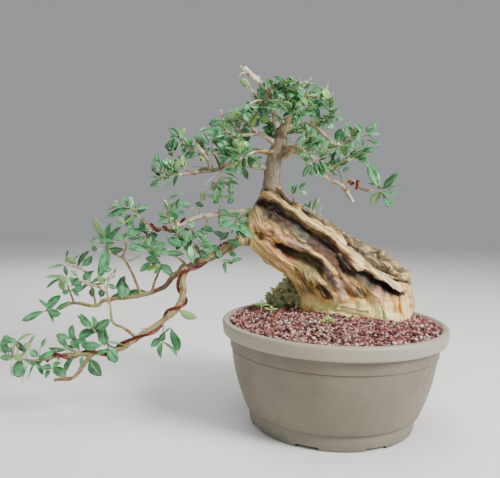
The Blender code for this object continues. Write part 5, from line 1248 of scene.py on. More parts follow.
# Leafy twigs: name, routes, thickness in mm at both ends, bare length in mm, leaf length in mm
twigRows = [
    ("crown_01", [[(292, 101, 14), (288, 90, 10), (284, 80, 6)], [(290, 95, 12), (298, 91, 2),
      (301, 82, -8)]], (3.6, 1.6), 3, 17),
    ("crown_02", [[(304, 99, 38), (309, 90, 40), (305, 80, 42)]], (3.2, 1.6), 5, 18),
    ("crown_03", [[(270, 104, 30), (260, 100, 16), (249, 104, 6)]], (3.2, 1.6), 7, 18),
    ("crown_04", [[(273, 112, 30), (259, 115, 40), (246, 119, 50)]], (3.2, 1.6), 7, 18),
    ("crown_05", [[(268, 96, 29), (262, 96, 48), (254, 92, 66)]], (3.0, 1.6), 7, 17),
    ("crown_06", [[(290, 113, 18), (286, 109, -4), (280, 104, -22)], [(288, 111, 4), (299, 112, -10),
      (306, 112, -24)]], (3.2, 1.6), 6, 18),
    ("crown_08", [[(294, 113, 32), (290, 106, 58), (284, 100, 78)]], (3.2, 1.6), 7, 18),
    ("crown_09", [[(303, 101, 38), (313, 104, 60), (322, 107, 78)]], (3.2, 1.6), 7, 18),
    ("crown_10", [[(315, 97, 42), (325, 101, 38), (334, 105, 34)], [(320, 99, 40), (323, 92, 30),
      (328, 88, 22)]], (2.8, 1.4), 3, 15),
    ("crown_13", [[(266, 92, 28), (275, 88, 20), (281, 80, 14)]], (2.8, 1.4), 6, 17),
    ("left_mid_01", [[(237, 136, 6), (225, 131, 2), (213, 128, -2)]], (3.0, 1.4), 3, 16),
    ("left_mid_02", [[(257, 134, 14), (250, 125, 4), (243, 116, -4)]], (2.8, 1.4), 6, 17),
    ("left_mid_03", [[(246, 135, 10), (238, 128, 28), (231, 122, 42)]], (2.6, 1.4), 6, 16),
    ("left_low_01", [[(185, 174, -1), (172, 175, -4), (159, 180, -8)]], (3.2, 1.4), 3, 17),
    ("left_low_02", [[(246, 165, 16), (245, 156, 12), (239, 143, 8)]], (2.8, 1.4), 8, 17),
    ("left_low_03", [[(230, 164, 10), (233, 156, -2), (236, 147, -10)]], (2.6, 1.4), 7, 17),
    ("left_low_04", [[(221, 167, 8), (215, 155, 12), (199, 151, 14), (188, 150, 14), (180, 139, 14)]],
      (2.8, 1.4), 22, 16),
    ("left_low_05", [[(222, 167, 8), (220, 175, -4), (216, 181, -14)]], (2.4, 1.4), 7, 16),
    ("left_low_06", [[(190, 173, 1), (180, 164, 6), (172, 156, 10)]], (2.4, 1.4), 6, 15),
    ("left_back_01", [[(246, 149, 60), (233, 148, 74), (220, 150, 84), (200, 154, 98)], [(234, 148, 73),
      (231, 138, 76), (228, 126, 80)], [(239, 148, 68), (243, 158, 72), (243, 168, 78)]], (4.2, 1.5), 4, 17),
    ("back_01", [[(283, 142, 50), (288, 132, 80), (295, 121, 108)], [(285, 137, 64), (277, 130, 74),
      (268, 124, 84)]], (4.2, 1.5), 4, 17),
    ("right_mid_01", [[(333, 144, 24), (342, 145, 24), (349, 138, 22), (358, 136, 18),
      (368, 133, 14)], [(339, 145, 24), (340, 137, 34), (344, 130, 44)]], (3.8, 1.4), 4, 18),
    ("right_mid_02", [[(314, 126, 22), (322, 118, 12), (331, 115, 4)]], (2.8, 1.4), 6, 16),
    ("right_mid_04", [[(304, 125, 21), (309, 136, 4), (316, 143, -8)]], (2.6, 1.4), 7, 16),
    ("right_fork_01", [[(344, 160, 15), (354, 156, 10), (363, 151, 6)]], (2.6, 1.4), 3, 17),
    ("right_low_01", [[(328, 178, 23), (334, 170, 34), (341, 164, 42)]], (2.4, 1.4), 6, 16),
    ("right_end_01", [[(367, 191, 20), (376, 189, 16), (387, 188, 12)]], (2.8, 1.4), 3, 19),
    ("right_back_01", [[(304, 147, 54), (322, 149, 76), (346, 148, 94)], [(312, 148, 66), (315, 138, 72),
      (318, 128, 80)]], (4.2, 1.5), 4, 17),
    ("right_front_01", [[(303, 151, -24), (311, 156, -40), (320, 161, -50)]], (2.8, 1.4), 4, 17),
    ("left_front_01", [[(256, 151, -14), (247, 155, -30), (238, 160, -40)]], (2.8, 1.4), 4, 16),
    ("bark_shoot", [[(294, 204, 18), (293, 195, 6), (300, 189, 0)]], (2.2, 1.3), 12, 15),
    ("upper_01", [[(144, 221, -6), (136, 214, -8), (130, 207, -10)]], (2.6, 1.3), 3, 17),
    ("upper_02", [[(172, 229, 2), (170, 219, -8), (168, 210, -16)]], (2.4, 1.3), 6, 15),
    ("upper_03", [[(189, 221, 7), (190, 231, 0), (186, 240, -8)]], (2.4, 1.3), 6, 16),
    ("upper_04", [[(229, 213, 18), (230, 219, 0), (236, 222, -10)]], (2.4, 1.3), 7, 14),
    ("upper_05", [[(155, 227, -3), (148, 235, 8), (140, 238, 16)]], (2.4, 1.3), 6, 15),
    ("mid_01", [[(159, 250, -14), (152, 249, -16), (146, 250, -18)]], (2.2, 1.3), 2, 15),
    ("mid_02", [[(193, 245, -8), (186, 241, -10), (182, 236, -12)]], (2.2, 1.3), 2, 15),
    ("mid_03", [[(218, 253, 7), (222, 261, -2), (232, 262, -10)]], (2.4, 1.3), 8, 14),
    ("left_peg_01", [[(124, 259, 7), (110, 251, 8), (103, 240, 8)]], (2.6, 1.3), 7, 16),
    ("left_riser_01", [[(161, 266, 4), (157, 261, 2), (150, 262, -2)]], (2.2, 1.3), 3, 14),
    ("branch_left_01", [[(61, 309, 14), (53, 311, 13), (43, 311, 12)]], (2.4, 1.3), 2, 17),
    ("branch_left_02", [[(126, 298, 16), (122, 292, 24), (124, 284, 30)]], (2.4, 1.3), 6, 16),
    ("rise_01", [[(86, 272, 24), (76, 267, 25), (64, 265, 25)], [(78, 268, 25), (70, 277, 18),
      (60, 278, 12)]], (2.6, 1.3), 3, 15),
    ("fork_01", [[(106.3, 292, -9.4), (104, 284, -8), (94, 284, -9), (84, 282, -10),
      (77, 276, -12)], [(104, 284, -8), (107, 279, -8), (112, 273, -7), (117, 267, -6)]], (2.6, 1.3), 5, 15),
    ("down_shoot", [[(163, 322, -19), (163, 333, -24), (162, 344, -28)]], (2.6, 1.3), 8, 17),
    ("down_01", [[(115, 350, -32), (104, 341, -38), (94, 331, -42)]], (2.6, 1.3), 6, 18),
    ("down_02", [[(76, 355, -39), (74, 346, -46), (70, 338, -52)]], (2.4, 1.3), 6, 17),
    ("down_03", [[(43, 360, -41), (28, 360, -40), (14, 357, -38), (2, 352, -36)]], (2.6, 1.3), 4, 17),
    ("down_04", [[(60, 356, -40), (54, 366, -46), (50, 372, -52)]], (2.4, 1.3), 6, 16),
]

# Leaves read from the picture: root, tip and width in readings
leafMarks = [
    (271, 117, 263, 101, 8), (273, 95, 272, 82, 7), (158, 181, 152, 163, 5), (211, 166, 192, 164, 6),
    (215, 165, 215, 153, 5), (237, 150, 218, 165, 8), (217, 172, 202, 185, 6), (224, 170, 240, 179, 6),
    (341, 142, 339, 128, 9), (361, 134, 355, 122, 10), (368, 133, 376, 122, 8), (368, 134, 378, 143, 7),
    (343, 157, 363, 150, 6), (339, 168, 341, 163, 8), (379, 188, 369, 163, 9), (383, 187, 398, 172, 9),
    (386, 188, 405, 198, 4), (380, 189, 389, 207, 5), (384, 188, 366, 182, 5), (378, 188, 404, 184, 5),
    (293, 196, 290, 181, 8), (298, 191, 308, 195, 6), (303, 190, 306, 182, 5), (130, 209, 103, 215, 9),
    (134, 209, 151, 205, 8), (131, 210, 131, 196, 7), (138, 216, 126, 222, 7), (232, 219, 218, 219, 6),
    (236, 221, 251, 208, 7), (236, 222, 255, 237, 10), (222, 259, 208, 257, 7), (226, 261, 225, 274, 6),
    (231, 262, 243, 258, 6), (188, 243, 184, 232, 6), (190, 243, 194, 263, 8), (184, 240, 174, 242, 6),
    (186, 240, 205, 238, 7), (151, 249, 139, 237, 7), (148, 250, 134, 248, 7), (150, 250, 150, 236, 6),
    (153, 249, 168, 243, 8), (160, 265, 173, 276, 8), (158, 263, 146, 270, 6), (152, 262, 139, 271, 6),
    (156, 261, 157, 250, 6), (105, 240, 94, 217, 9), (107, 244, 109, 222, 7), (108, 247, 120, 225, 7),
    (106, 244, 90, 240, 6), (112, 252, 127, 249, 7), (106, 246, 99, 278, 9), (104, 242, 99, 234, 6),
    (67, 265, 67, 250, 7), (67, 266, 79, 254, 6), (66, 265, 47, 267, 7), (78, 266, 88, 250, 6),
    (62, 278, 63, 291, 6), (61, 278, 44, 275, 7), (65, 277, 44, 287, 7), (70, 277, 82, 288, 6),
    (85, 282, 93, 270, 6), (90, 284, 105, 278, 6), (80, 279, 70, 284, 6), (124, 292, 123, 276, 13),
    (124, 297, 149, 292, 7), (122, 294, 106, 302, 8), (46, 311, 60, 295, 7), (50, 311, 40, 299, 6),
    (43, 311, 21, 320, 7), (48, 311, 54, 322, 6), (93, 331, 79, 314, 7), (95, 332, 110, 320, 7),
    (96, 333, 78, 336, 9), (103, 340, 102, 324, 10), (104, 341, 126, 344, 7), (107, 344, 116, 363, 9),
    (92, 330, 93, 316, 6), (71, 340, 72, 325, 8), (70, 339, 55, 334, 6), (73, 344, 86, 340, 6),
    (54, 367, 66, 376, 8), (51, 371, 44, 377, 6), (52, 369, 40, 366, 7), (52, 368, 61, 362, 6),
    (30, 360, 48, 338, 4), (28, 360, 20, 381, 6), (22, 359, 33, 332, 5), (20, 358, 13, 377, 9),
    (14, 357, 15, 342, 5), (6, 354, 4, 337, 6), (10, 356, -12, 362, 7), (3, 352, -14, 346, 7),
    (36, 360, 55, 350, 6), (34, 361, 44, 374, 7), (162, 343, 178, 355, 10), (163, 335, 170, 327, 7),
    (162, 338, 150, 346, 7), (162, 344, 160, 358, 6),
]

# The root on the grit: east, north, rise above the grit and thickness in mm
surfaceRoot = [(-8, 84, 3.6, 8.05), (-28, 80, 3.0, 6.32), (-46, 66, 2.4, 5.29), (-58, 46, 2.2, 4.83),
                (-66, 20, 1.8, 4.37), (-71, -6, 0.0, 3.91), (-72, -14, -3.4, 3.45)]

# More leaves of the near clusters: root, tip and width in readings, and how each looks
nearLeaves = [
    (267, 96, 257, 89.5, 6, "mid"), (250, 86, 240, 79.5, 7, "olive"), (248, 73, 254, 76, 3, "mid"),
    (266, 87.5, 260.5, 80.5, 4, "olive"), (270, 85, 267, 79.5, 5, "mid"), (286, 82, 274, 76, 4, "mid"),
    (288, 81, 295, 77.5, 2.5, "mid"), (289, 82.5, 301.5, 80.5, 3, "mid"), (290, 95, 281, 83, 6, "mid"),
    (276, 93, 285, 88, 6, "dark"), (290, 95, 300, 90, 7, "mid"), (302, 90.5, 299, 84.5, 7, "blue"),
    (304.5, 93.5, 309.5, 83, 3, "mid"), (324, 88, 311, 91, 4, "mid"), (323, 88, 329.5, 98, 7, "lime"),
    (328, 109, 333.5, 93, 2, "mid"), (328, 109, 339, 108.5, 2, "mid"), (328, 109, 335, 114.5, 2, "mid"),
    (328, 109, 320, 105, 3, "mid"), (328, 109, 320, 94.5, 4, "mid"), (328, 109, 331, 117, 2, "lime"),
    (327.5, 129, 333, 123, 8, "mid"), (334.5, 122, 343.5, 116, 3, "mid"), (327, 115, 332, 123, 2, "mid"),
    (265, 106, 251.5, 96, 9, "dark"), (270, 116.5, 263, 123, 6, "lime"),
    (271, 116.5, 282.5, 120, 5, "olive"), (272.5, 98, 273, 108, 8, "mid"), (281, 103, 284, 109, 4, "mid"),
    (290, 103, 301.5, 97.5, 6, "blue"), (286, 112, 295.5, 103, 8, "blue"), (297, 110, 301, 103, 7, "mid"),
    (298.5, 115, 307.5, 112, 5, "blue"), (309, 96.5, 311.5, 105, 5, "lime"),
    (314.5, 99, 319, 107.5, 7, "mid"), (310.5, 107.5, 315.5, 112, 7, "mid"), (291, 127, 297, 132, 8, "mid"),
    (303, 121, 305.5, 129, 6, "blue"), (297, 133.5, 304.5, 127.5, 6, "mid"),
    (311.5, 117.5, 315.5, 122.5, 8, "olive"), (320.5, 123.5, 324, 127.5, 5, "mid"),
    (246.5, 109, 255.5, 113.5, 8, "dark"), (244, 113, 250, 121, 9, "mid"),
    (252.5, 119, 258.5, 126, 8, "mid"), (242.5, 129, 250, 135, 8, "blue"),
    (262.5, 127, 274, 130.5, 7, "mid"), (265, 130.5, 272.5, 136.5, 6, "blue"),
    (225, 115, 239, 106, 4, "mid"), (231, 114, 240, 114, 3, "lime"), (298.5, 142.5, 305.5, 136.5, 6, "blue"),
    (295.5, 143.5, 301.5, 148, 5, "mid"), (307.5, 136.5, 317, 136.5, 7, "olive"),
    (317, 143.5, 323.5, 138, 4, "mid"), (309, 146.5, 319, 144, 8, "mid"), (156.5, 182.5, 157, 189, 3, "mid"),
    (170, 181, 166.5, 187, 3, "mid"), (160.5, 168, 152, 160.5, 4, "mid"), (164.5, 166.5, 159, 161, 4, "mid"),
    (164.5, 169.5, 168, 158, 4, "mid"), (171.5, 174.5, 168, 165, 6, "mid"),
    (173, 165.5, 180.5, 158.5, 1.5, "mid"), (174.5, 170, 182, 159, 6, "olive"),
    (180.5, 144.5, 164, 146, 7, "dark"), (179, 136.5, 169.5, 127.5, 8, "dark"),
    (182, 135.5, 185, 127.5, 4, "lime"), (178.5, 137.5, 169.5, 136.5, 3, "mid"),
    (182, 139, 192, 141.5, 5, "mid"), (195, 139, 199.5, 135, 4, "mid"), (201, 136.5, 202, 141, 3, "blue"),
    (201, 132.5, 208.5, 144.5, 8, "dark"), (225, 135, 206, 129, 10, "mid"),
    (223, 122.5, 208.5, 124.5, 8, "mid"), (211.5, 142, 218, 137, 7, "olive"),
    (219.5, 159, 227.5, 139, 9, "blue"), (223, 162, 229.5, 148, 8, "mid"),
    (205.5, 161, 200.5, 156, 3, "lime"), (223, 169.5, 243, 170, 5, "mid"),
    (218.5, 191.5, 212, 182, 7, "olive"), (221.5, 197, 205.5, 196, 4, "olive"),
    (223, 196.5, 233.5, 195, 4, "olive"), (233.5, 194, 228, 188.5, 5, "dark"),
    (167.5, 200, 186.5, 190.5, 4, "mid"), (137, 207.5, 152, 205, 3, "mid"),
    (170, 206.5, 180, 202.5, 5, "dark"), (122, 300, 123, 281, 12, "mid"), (90, 359, 101, 376, 12, "dark"),
    (75, 356, 63, 372, 6, "mid"), (82, 356, 82, 367, 5, "mid"), (66, 350, 48, 348, 5, "mid"),
    (179, 310, 197, 318, 8, "pale"), (171, 328, 178, 352, 10, "mid"), (165, 333, 160, 341, 7, "dark"),
    (133, 230, 127, 214, 10, "blue"), (124, 224, 118, 218, 6, "olive"), (92, 239, 100, 237, 2, "mid"),
    (112, 241, 99, 239, 4, "mid"), (114, 240, 127, 234, 6, "mid"), (115, 243, 104, 245, 3, "blue"),
    (126, 236, 142, 229, 8, "blue"), (136, 236, 142, 227, 5, "mid"), (124, 249, 107, 250, 7, "dark"),
    (129, 249, 140, 245, 9, "mid"), (148, 238, 157, 234, 8, "dark"), (149, 242, 138, 237, 5, "mid"),
    (153, 242, 158, 234, 2, "mid"), (160, 257, 147, 245, 11, "blue"), (150, 248, 166, 244, 9, "blue"),
    (161, 263, 145, 257, 8, "mid"), (160, 254, 171, 250, 8, "mid"), (182, 246, 167, 239, 9, "mid"),
    (184, 254, 166, 254, 7, "dark"), (161, 266, 147, 270, 3, "lime"), (161, 267, 154, 274, 4, "mid"),
    (185, 243, 192, 234, 7, "mid"), (197, 236, 204, 243, 6, "dark"), (200, 246, 212, 242, 7, "mid"),
    (199, 250, 209, 258, 8, "dark"), (204, 247, 213, 252, 7, "mid"), (77, 264, 66, 258, 7, "olive"),
    (84, 261, 86, 250, 2, "mid"), (82, 266, 92, 256, 7, "mid"), (97, 251, 92, 246, 5, "dark"),
    (101, 267, 111, 270, 7, "mid"), (92, 271, 83, 280, 8, "mid"), (68, 283, 58, 275, 8, "olive"),
    (67, 276, 64, 266, 4, "dark"), (70, 290, 62, 293, 5, "blue"), (71, 290, 84, 288, 6, "mid"),
    (71, 286, 83, 281, 3, "mid"), (73, 291, 79, 296, 4, "olive"), (92, 297, 93, 288, 6, "dark"),
    (100, 297, 104, 289, 7, "dark"), (109, 284, 116, 289, 5, "blue"), (56, 309, 70, 301, 4, "mid"),
    (48, 311, 60, 315, 9, "mid"), (80, 350, 72.5, 333, 9, "blue"), (102, 345, 80, 346, 9, "blue"),
    (104, 345, 102, 327, 12, "mid"), (108, 349, 118, 362, 10, "mid"), (93, 355, 107, 350, 4, "mid"),
    (68, 347, 57, 335, 7, "mid"), (56, 349, 43, 359, 5, "mid"), (41, 348, 46, 338, 3, "mid"),
    (38, 357, 30, 350, 7, "mid"), (16, 343, 31, 332, 2, "lime"), (12, 343, 3, 336, 8, "mid"),
    (18, 345, 7, 337, 3, "mid"), (26, 352, 15, 342, 7, "dark"), (14, 350, -1, 348, 6, "mid"),
    (14, 356, 0, 357, 6, "mid"), (28.5, 350, 26, 342.5, 7, "pale"), (20, 361, 15, 353, 8, "pale"),
    (24, 364, 17, 378, 10, "mid"), (12, 362, 10, 377, 1.5, "mid"), (34, 364, 26, 380, 3, "mid"),
    (27, 362, 42, 363, 6, "mid"), (53, 368, 61, 374, 6, "mid"), (93, 328, 80, 314, 8, "mid"),
    (95, 329, 109, 320, 9, "dark"), (231, 215, 221, 209, 6, "mid"), (240, 230, 229, 226, 7, "mid"),
    (233, 222, 220, 226, 7, "mid"), (226, 236, 214, 232, 6, "dark"), (228, 240, 240, 245, 7, "mid"),
    (219, 246, 207, 249, 7, "mid"), (216, 250, 222, 258, 6, "mid"), (243, 216, 251, 212, 6, "mid"),
    (214, 232, 204, 226, 6, "mid"), (208, 237, 197, 231, 7, "blue"), (229, 250, 236, 256, 6, "mid"),
    (220, 240, 229, 233, 6, "dark"), (210, 244, 200, 240, 6, "mid"), (195, 228, 187, 222, 6, "mid"),
    (200, 231, 209, 226, 5, "dark"), (176, 216, 170, 208, 6, "dark"), (170, 214, 178, 207, 5, "mid"),
    (166, 218, 158, 212, 5, "mid"), (204, 206, 195, 203, 5, "dark"), (213, 203, 221, 199, 6, "mid"),
    (206, 200, 200, 193, 5, "olive"), (227, 203, 234, 198, 6, "dark"), (190, 208, 182, 204, 5, "mid"),
    (186, 212, 178, 212, 4, "mid"), (312, 211, 318, 197, 3, "olive"), (313, 206, 323, 205, 2, "mid"),
    (311, 208, 304, 203, 2, "dark"), (317, 212, 323, 217, 2, "mid"), (309, 209, 311, 200, 2, "mid"),
    (314, 213, 307, 210, 2, "olive"),
]


# Leaves: each a thin closed blade with a fold along its rib, its tip bowed and its stalk drawn narrow

foliage = {
    "columns": 4,
    "rows": 8,
    "thickness": 0.00035,
    "pairSpacing": 17.0 * mm,
    "firstPair": 4.5 * mm,
    "tipSink": 1.5 * mm,
    "widthShare": 0.44,
    "markedWidth": 1.15,
    "fillSpacing": 8.5 * mm,
    "looks": {"mid": (0.45, 0), "blue": (0.6, 0), "dark": (0.05, 0), "lime": (0.93, 0), "olive": (0.4, 1),
              "pale": (1.0, 1)},
    "edgeOn": 0.28,
    "shootSpacing": 5.0 * mm,
    "shootReach": (8 * mm, 15 * mm),
    "shoots": {"crown": 5, "left_mid": 4, "left_low": 3, "left_back": 6, "back": 7, "right_mid": 4,
               "right_back": 7, "right_low": 4, "right_front": 4, "left_front": 4, "right_fork": 3,
               "upper": 2, "right_end": 1},
    "crownTop": [(200, 135), (208, 124), (222, 116), (236, 110), (244, 104), (252, 97), (258, 84), (266, 79),
                 (275, 76), (297, 76), (302, 83), (310, 82), (318, 87), (328, 87), (333, 94), (339, 106),
                 (343, 116), (352, 121), (368, 125), (378, 121), (381, 132)],
    "twigTone": tone(204, 190, 150),
}


def leafTemplate():
    work = bmesh.new()
    bmesh.ops.create_grid(work, x_segments=foliage["columns"], y_segments=foliage["rows"], size=1.0)
    for vert in work.verts:
        vert.co.y = (vert.co.y + 1) / 2
    bmesh.ops.solidify(work, geom=work.faces[:] + work.edges[:] + work.verts[:], thickness=1.0)
    middle = sum(vert.co.z for vert in work.verts) / len(work.verts)
    for vert in work.verts:
        vert.co.z -= middle
        vert.co.x = max(-1.0, min(1.0, vert.co.x))
        vert.co.y = max(0.0, min(1.0, vert.co.y))
    bmesh.ops.recalc_face_normals(work, faces=work.faces)
    mesh = bpy.data.meshes.new("leafTemplate")
    work.to_mesh(mesh)
    work.free()
    return mesh


def bladeOutline(share):
    if share < 0.1:
        return 0.09
    return max(0.05, math.sin(math.pi * ((share - 0.07) / 0.93) ** 0.94) ** 0.6)


def addLeaf(work, layers, template, leaf, age, seed, slot=1):
    root, tip, width, facing, arch = leaf
    draw = random.Random(f"shape {seed}")
    along = tip - root
    length = along.length
    along.normalize()
    up = (facing - along * facing.dot(along)).normalized()
    side = along.cross(up)
    fold, twist = draw.uniform(0.05, 0.5), draw.uniform(-0.6, 0.6)
    sway, wave = draw.uniform(-0.07, 0.07), draw.uniform(0.0, 0.06)
    phase = draw.uniform(0.0, 6.0)
    firstVert, firstFace = len(work.verts), len(work.faces)
    work.from_mesh(template)
    work.verts.ensure_lookup_table()
    work.faces.ensure_lookup_table()
    for vert in work.verts[firstVert:]:
        across, share, lift = vert.co
        half = width / 2 * bladeOutline(share)
        x = across * half + sway * length * math.sin(math.pi * share)
        z = lift * foliage["thickness"] * (0.4 + 0.6 * math.sin(math.pi * share)) + abs(across) * half * fold
        z += wave * width * math.sin(phase + 9 * share) * across - arch * length * share * share
        turn = twist * (share - 0.4)
        turned = (x * math.cos(turn) - z * math.sin(turn), x * math.sin(turn) + z * math.cos(turn))
        vert.co = root + along * (share * length) + side * turned[0] + up * turned[1]
        vert[layers["leafAcross"]] = across
        vert[layers["leafAlong"]] = share
        vert[layers["leafUnder"]] = 1.0 if lift < 0 else 0.0
        vert[layers["leafAge"]] = age
    for face in work.faces[firstFace:]:
        face.material_index = slot


def leafFacing(draw, along, stem):
    facing = Vector((draw.uniform(-0.5, 0.5), draw.uniform(-0.9, 0.1), draw.uniform(0.5, 1.2)))
    facing = facing - along.normalized() * facing.dot(along.normalized())
    if facing.length < 0.1:
        facing = stem.orthogonal()
    return facing.normalized()


def stemRoute(marks, sizes):
    return list(zip([seen(mark) for mark in marks], [size * mm for size in spreadSizes(sizes, len(marks))]))


def splitRoute(route, bare):  # the foot that belongs to the wood, and the leafy rest
    done = 0.0
    for index in range(len(route) - 1):
        (here, thickHere), (there, thickThere) = route[index], route[index + 1]
        step = (there - here).length
        if done + step >= bare or index == len(route) - 2:
            t = min(0.9, max(0.1, (bare - done) / step))
            cut, size = here.lerp(there, t), thickHere + (thickThere - thickHere) * t
            return route[:index + 1] + [(cut, size)], [(cut, size)] + route[index + 1:]
        done += step
    return route, route


def twigRoutes(twig):
    routes, sizes, bare = twig[1:4]
    foot, leafy = splitRoute(stemRoute(routes[0], sizes), bare * mm)
    side = (sizes[0] * 0.75, sizes[1])
    return foot, [leafy] + [stemRoute(marks, side) for marks in routes[1:]]


def routeLength(route):
    return sum((there - here).length for (here, _), (there, _) in zip(route, route[1:]))


def nearestOnRoutes(across, down, routes):
    best = (1e9, None, None)
    for route in routes:
        for (here, _), (there, _) in zip(route, route[1:]):
            for step in range(1, 6):
                place = here.lerp(there, step / 6)
                u, v = inPicture(place)
                gap = math.hypot(u - across, v - down)
                if gap < best[0]:
                    best = (gap, place, (there - here).normalized())
    return best


def nearestSpray(across, down, sprays):
    gaps = {name: nearestOnRoutes(across, down, routes) for name, routes in sprays.items()}
    name = min(gaps, key=lambda key: gaps[key][0])
    return name, *gaps[name]


def placeOn(route, distance):
    for (here, _), (there, _) in zip(route, route[1:]):
        step = (there - here).length
        if distance <= step:
            return here.lerp(there, distance / step), (there - here).normalized()
        distance -= step
    (here, _), (there, _) = route[-2:]
    return there.copy(), (there - here).normalized()


def markedLeaves(sprays):
    shared = {name: [] for name in sprays}
    for index, (across, down, tipAcross, tipDown, width) in enumerate(leafMarks):
        name, _, root, along = nearestSpray(across, down, sprays)
        draw = random.Random(f"mark {index}")
        flat = seen((tipAcross, tipDown, root.y / mm))
        reach = (flat - root).length
        tip = seen((tipAcross, tipDown, root.y / mm + reach / mm * draw.uniform(-0.35, 0.25)))
        scale = (root - view["eye"]).length / view["focal"]
        shared[name].append((root, tip, width * scale, leafFacing(draw, tip - root, along), 0.1))
    return shared


def ruledLeaves(name, routes, leafLength, taken, spacing):  # pairs of leaves set crosswise up the stem
    draw = random.Random(name)
    leaves = []
    for route in routes:
        length = routeLength(route)
        pairs = max(1, int((length - foliage["firstPair"]) / spacing))
        turn = draw.uniform(0, math.pi)
        for pair in range(pairs + 1):
            atTip = pair == pairs
            distance = length - foliage["tipSink"] if atTip else foliage["firstPair"] + pair * spacing
            place, along = placeOn(route, distance)
            across = along.orthogonal().normalized()
            for side in range(2):
                spin = turn + side * math.pi + draw.uniform(-0.35, 0.35)
                out = Matrix.Rotation(spin, 3, along) @ across
                lean = draw.uniform(0.25, 0.6) if atTip else draw.uniform(0.75, 1.15)
                aim = (along * math.cos(lean) + out * math.sin(lean)).normalized()
                aim = (aim + Vector((0, 0, draw.uniform(0.0, 0.35)))).normalized()
                size = leafLength * mm * draw.uniform(0.75, 1.2)
                width = size * foliage["widthShare"] * draw.uniform(0.85, 1.15)
                facing = leafFacing(draw, aim, along)
                leaves.append((place, place + aim * size, width, facing, draw.uniform(0.0, 0.22)))
            turn += math.pi / 2
    return leaves[:max(0, len(leaves) - taken)]


def facingOf(draw, along, length, width, flipped):  # seen flat, or edge-on where it shows narrow
    turned = draw.uniform(-0.35, 0.35)
    if width < foliage["edgeOn"] * length:
        turned = math.acos(min(1.0, width / (0.36 * length))) * draw.choice((-1, 1))
        width = 0.36 * length
    towards = -viewAhead + along.normalized() * viewAhead.dot(along.normalized())
    edge = along.cross(viewAhead).normalized()
    facing = towards.normalized() * math.cos(turned) + edge * math.sin(turned)
    if turned and facing.z < 0 and abs(turned) > 0.7:
        facing = towards.normalized() * math.cos(turned) - edge * math.sin(turned)
    return -facing if flipped else facing, width


def nearLeavesOf(sprays, wood):  # each leaf joined by a side stalk to the twig or branch that it stands off
    shared = {name: [] for name in sprays}
    for index, (across, down, tipAcross, tipDown, width, look) in enumerate(nearLeaves):
        name, gap, foot, along = nearestSpray(across, down, sprays)
        onWood = nearestOnRoutes(across, down, wood)
        if onWood[0] < gap - 3:
            gap, foot, along = onWood
        draw = random.Random(f"near {index}")
        depth = foot.y / mm - (draw.uniform(1.0, 5.0) + gap * 0.5)
        root = seen((across, down, depth))
        reach = math.hypot(tipAcross - across, tipDown - down) * 1.2
        tip = seen((tipAcross, tipDown, depth - reach * draw.uniform(-0.25, 0.3)))
        age, flipped = foliage["looks"][look]
        scale = (root - view["eye"]).length / view["focal"]
        facing, width = facingOf(draw, tip - root, (tip - root).length, width * scale, flipped)
        shared[name].append(((root, tip, width, facing, draw.uniform(0.0, 0.2)), foot, age))
    return shared


def sideShoots(name, routes, count):  # short leafy shoots that fill a spray out
    draw = random.Random(f"shoots {name}")
    shoots = []
    for _ in range(count):
        route = draw.choice(routes)
        length = routeLength(route)
        place, along = placeOn(route, length * draw.uniform(0.2, 0.98))
        out = Vector([draw.gauss(0, 1) for _ in range(3)])
        out = (out - along * out.dot(along)).normalized()
        aim = (along * draw.uniform(0.1, 0.8) + out + Vector((0, 0, 0.3))).normalized()
        reach = draw.uniform(*foliage["shootReach"])
        middle = place + aim * reach * 0.5 + out * reach * draw.uniform(0.0, 0.12)
        shoots.append([(place, 1.4 * mm), (middle, 1.1 * mm), (place + aim * reach, 0.8 * mm)])
    return shoots


def aboveCrown(leaf):  # whether a leaf set by rule would stand above the crown's outline
    across, down = inPicture(leaf[1])
    outline = foliage["crownTop"]
    if not outline[0][0] < across < outline[-1][0]:
        return False
    top = np.interp(across, [x for x, _ in outline], [y for _, y in outline])
    return down < top - 1 and down > 40


def shootCount(name):
    group = name.rstrip("0123456789").rstrip("_")
    return foliage["shoots"].get(group, 0)


def addTwig(work, route, knobs=0.18, flare=0.2):
    addLimb(work, smoothLimb(route, 5, 1.3 * mm), 7, foliage["twigTone"], knobs=knobs, flare=flare)


def buildSpray(name, routes, leaves, near, template, leafLength):
    work = bmesh.new()
    layers = layersOf(work)
    draw = random.Random(f"ages {name}")
    for route in routes:
        addTwig(work, route)
    shoots = sideShoots(name, routes, shootCount(name))
    for index, shoot in enumerate(shoots):
        addTwig(work, shoot)
        grown = ruledLeaves(f"shoot {name} {index}", [shoot], leafLength * 0.95, 0, foliage["shootSpacing"])
        leaves += [leaf for leaf in grown if not aboveCrown(leaf)]
    for index, leaf in enumerate(leaves):
        addLeaf(work, layers, template, leaf, leafAgeOf(draw), f"{name} {index}")
    for index, (leaf, foot, age) in enumerate(near):
        addLeaf(work, layers, template, leaf, age, f"near {name} {index}")
        if (leaf[0] - foot).length > 0.002:
            addTwig(work, [(foot, 1.3 * mm), (foot.lerp(leaf[0], 0.6) - Vector((0, 0, 0.0006)), 1.1 * mm),
                           (leaf[0], 0.9 * mm)], flare=0.3)
    finishPiece(work, "leafySpray_" + name, ["bark", "leaf"], ["spray_" + name])
    return len(leaves) + len(near)


